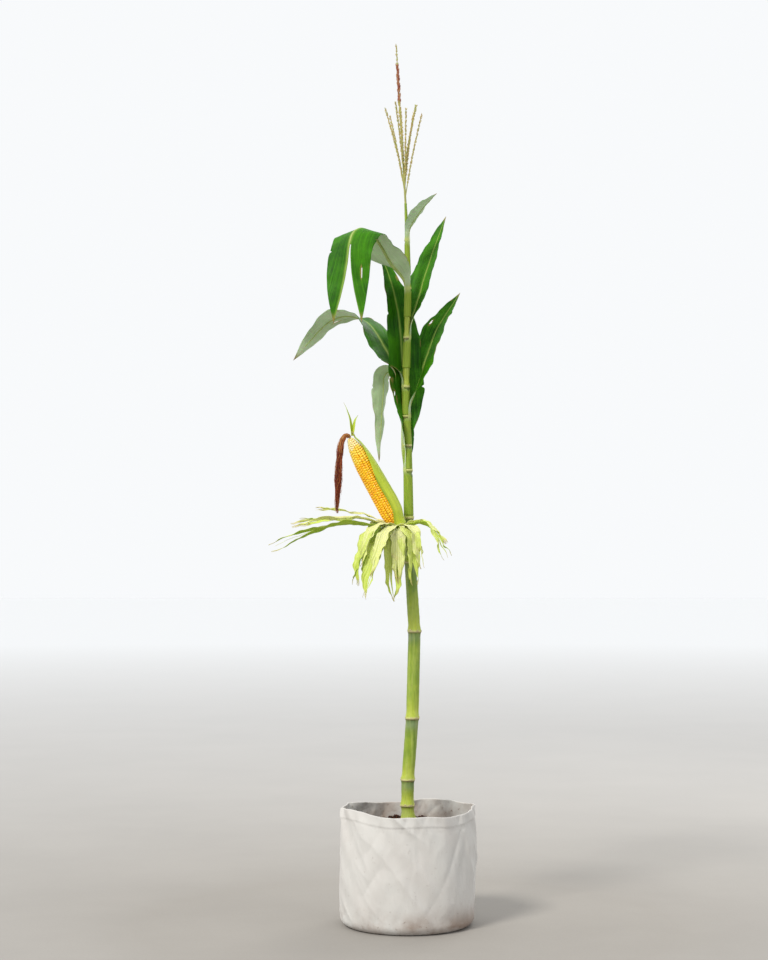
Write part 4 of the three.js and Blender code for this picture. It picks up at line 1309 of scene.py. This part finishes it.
def add_fibres(rng):
    """Short coir fibres lying on the soil."""
    shape = Shape()
    t = np.linspace(-0.5, 0.5, 7)
    for _ in range(FIBRES):
        radius = (BAG_RADIUS - 26) * math.sqrt(rng.uniform(0.04, 1))
        angle = rng.uniform(0, FULL_TURN)
        heading = rng.uniform(0, FULL_TURN)
        length = rng.uniform(7, 24)
        bend = rng.normal(0, 5) * (t ** 2 - 0.08)
        x = radius * math.cos(angle) + t * length * math.cos(heading) - bend * math.sin(heading)
        y = radius * math.sin(angle) + t * length * math.sin(heading) + bend * math.cos(heading)
        z = soil_height(x, y) + 3.2 + rng.uniform(-1.2, 1.4) + rng.normal(0, 4) * t
        shape.add_tube(np.stack([x, y, z], -1), rng.uniform(0.25, 0.5), 5, int(rng.integers(2)))
    add_piece("soil_fibres", shape, FIBRE_TONES)


# Stage, light and camera


def floor_look():
    """Grey screed near the plant, which fades with distance into the white of the sky."""
    look = Look("floor", 0.85, 0.15)
    place = look.place()
    separate = look.nodes.new("ShaderNodeSeparateXYZ")
    look.links.new(place, separate.inputs["Vector"])
    reach = [look.math("MULTIPLY", separate.outputs[axis], separate.outputs[axis]) for axis in ("X", "Y")]
    distance = look.math("SQRT", look.math("ADD", *reach))
    cloud = look.noise(place, 1.6, 5.0, 0.6)
    grain = look.noise(place, 160.0, 4.0, 0.7)
    look.colour(
        FLOOR_NEAR,
        (look.between(cloud, 0.35, 0.65), toned(FLOOR_NEAR, 0.93)),
        (look.between(grain, 0.3, 0.7, 0.0, 0.16), toned(FLOOR_NEAR, 0.6)),
        (look.math("POWER", look.between(distance, *FLOOR_FADE), 0.7), FLOOR_FAR))
    look.bump(grain, 0.3, 0.4)
    return look.material


def add_stage():
    """A plain floor that runs out to the pale sky."""
    size = 40000
    level = -0.5
    shape = Shape()
    shape.add([(-size, -size, level), (size, -size, level), (size, size, level), (-size, size, level)],
              [[0, 1, 2, 3]])
    floor = make_object("floor", shape, [floor_look()])


def add_light(name, kind, energy, colour, place, target, **terms):
    """A light that looks from its place at its target."""
    light = bpy.data.lights.new(name, kind)
    light.energy = energy
    light.color = colour
    for term, value in terms.items():
        setattr(light, term, value)
    lamp = bpy.data.objects.new(name, light)
    lamp.location = place
    lamp.rotation_euler = (Vector(target) - Vector(place)).to_track_quat("-Z", "Y").to_euler()
    bpy.context.scene.collection.objects.link(lamp)


def add_lights():
    """Soft daylight: a bright even sky, a broad sun from the upper left and a weak light from behind."""
    world = bpy.data.worlds.new("sky")
    world.use_nodes = True
    world.node_tree.nodes["Background"].inputs["Color"].default_value = (0.97, 0.985, 1.0, 1)
    world.node_tree.nodes["Background"].inputs["Strength"].default_value = 0.97
    bpy.context.scene.world = world
    add_light("key", "SUN", 2.4, (1.0, 0.97, 0.91), (0, 0, 0), (0.55, 0.72, -0.86), angle=math.radians(14))
    add_light("back", "AREA", 45, (1.0, 0.98, 0.94), (1.8, 3.0, 3.4), (0, 0, 1.3), shape="SQUARE", size=1.8)


def add_camera():
    """Level with the lower stalk and looking straight at the front, as the row was photographed."""
    data = bpy.data.cameras.new("camera")
    data.lens = 70
    data.sensor_fit = "VERTICAL"
    data.sensor_height = 36
    camera = bpy.data.objects.new("camera", data)
    camera.location = (-0.04, -4.9, 0.95)
    target = Vector((-0.06, 0, 1.155))
    camera.rotation_euler = (target - camera.location).to_track_quat("-Z", "Y").to_euler()
    bpy.context.scene.collection.objects.link(camera)
    bpy.context.scene.camera = camera


LEAF_UPPER = leaf_look("leaf_upper", (0.045, 0.19, 0.004), (0.01, 0.066, 0.002), (0.36, 0.48, 0.1),
                       roughness=0.5, gloss=0.1, vein_gain=1.8)
# The underside's pale grey-green is partly the blade's own paler underside and partly painted light, raised
# far above it so that undersides read bright where they face away from the sun.
LEAF_UNDER = leaf_look("leaf_under", (0.54, 0.65, 0.43), (0.38, 0.49, 0.28), (0.68, 0.74, 0.44),
                       roughness=0.6, gloss=0.2, vein_gain=1.2)
MIDRIB = plain_look("leaf_midrib", (0.4, 0.5, 0.15), 0.5)
STALK = stalk_look()
SHEATH_STUB = plain_look("sheath_stub", (0.62, 0.56, 0.27), 0.6)
PROP_ROOT = root_look()
# The groove tones colour the kernels' flanks: painted shade in the gaps between them.
KERNEL_TONES = tone_looks(
    kernel_look, "kernel_", yellow=(0.95, 0.56, 0.012), gold=(0.94, 0.5, 0.009), orange=(0.93, 0.44, 0.008),
    light=(0.95, 0.66, 0.07), cream=(0.9, 0.78, 0.36), groove=(0.72, 0.22, 0.004),
    groove_light=(0.8, 0.45, 0.06))
COB_CORE = cob_look()
HUSK_INNER = husk_look("husk_inner", (0.68, 0.71, 0.25), (0.43, 0.57, 0.05), (0.5, 0.4, 0.16), 0.5)
HUSK_OUTER = husk_look("husk_outer", (0.42, 0.55, 0.06), (0.22, 0.38, 0.016), (0.38, 0.28, 0.09), 0.55)
HUSK_PALE = husk_look("husk_pale", (0.74, 0.73, 0.4), (0.55, 0.62, 0.14), (0.55, 0.43, 0.18), 0.5)
HUSK_GREEN = husk_look("husk_green", (0.55, 0.62, 0.05), (0.34, 0.48, 0.02), (0.35, 0.3, 0.08), 0.5, 0.75)
SILK_TONES = tone_looks(
    spray_look, "silk_", 0.5, dark=(0.13, 0.018, 0.008), red=(0.24, 0.036, 0.012), rust=(0.38, 0.1, 0.025),
    tan=(0.5, 0.26, 0.08))
TASSEL_STEM = plain_look("tassel_stem", (0.4, 0.4, 0.12), 0.55)
TASSEL_TONES = tone_looks(
    spray_look, "tassel_", 0.6, straw=(0.56, 0.45, 0.17), tan=(0.45, 0.31, 0.11), green=(0.4, 0.4, 0.12),
    red=(0.3, 0.09, 0.05), brown=(0.38, 0.18, 0.09), anther=(0.62, 0.47, 0.2))
BAG = bag_look()
SOIL = soil_look()
CRUMB_TONES = tone_looks(
    spray_look, "crumb_", 0.95, dark=(0.02, 0.008, 0.005), brown=(0.05, 0.02, 0.012),
    red=(0.085, 0.034, 0.018), rust=(0.17, 0.06, 0.02))
CRUMB_TONES.append(spray_look("crumb_pale", (0.4, 0.31, 0.22), 0.9))
FIBRE_TONES = tone_looks(
    spray_look, "fibre_", 0.8, straw=(0.34, 0.22, 0.11), brown=(0.14, 0.07, 0.035))

add_camera()
add_lights()
add_stage()
add_bag()
add_soil_bed()
soil_rng = np.random.default_rng(SEED)
add_crumbs(soil_rng)
add_fibres(soil_rng)
add_stalk()
add_sheath_stubs(np.random.default_rng(SEED + 1))
add_prop_roots(np.random.default_rng(SEED + 2))
for leaf_number, leaf in enumerate(LEAVES):
    add_leaf(leaf, leaf_number)
add_cob(np.random.default_rng(SEED + 3))
add_shank()
add_husks(np.random.default_rng(SEED + 4))
add_back_husk()
add_silk(np.random.default_rng(SEED + 6))
add_tassel(np.random.default_rng(SEED + 7))

bpy.context.scene.view_settings.view_transform = "Standard"
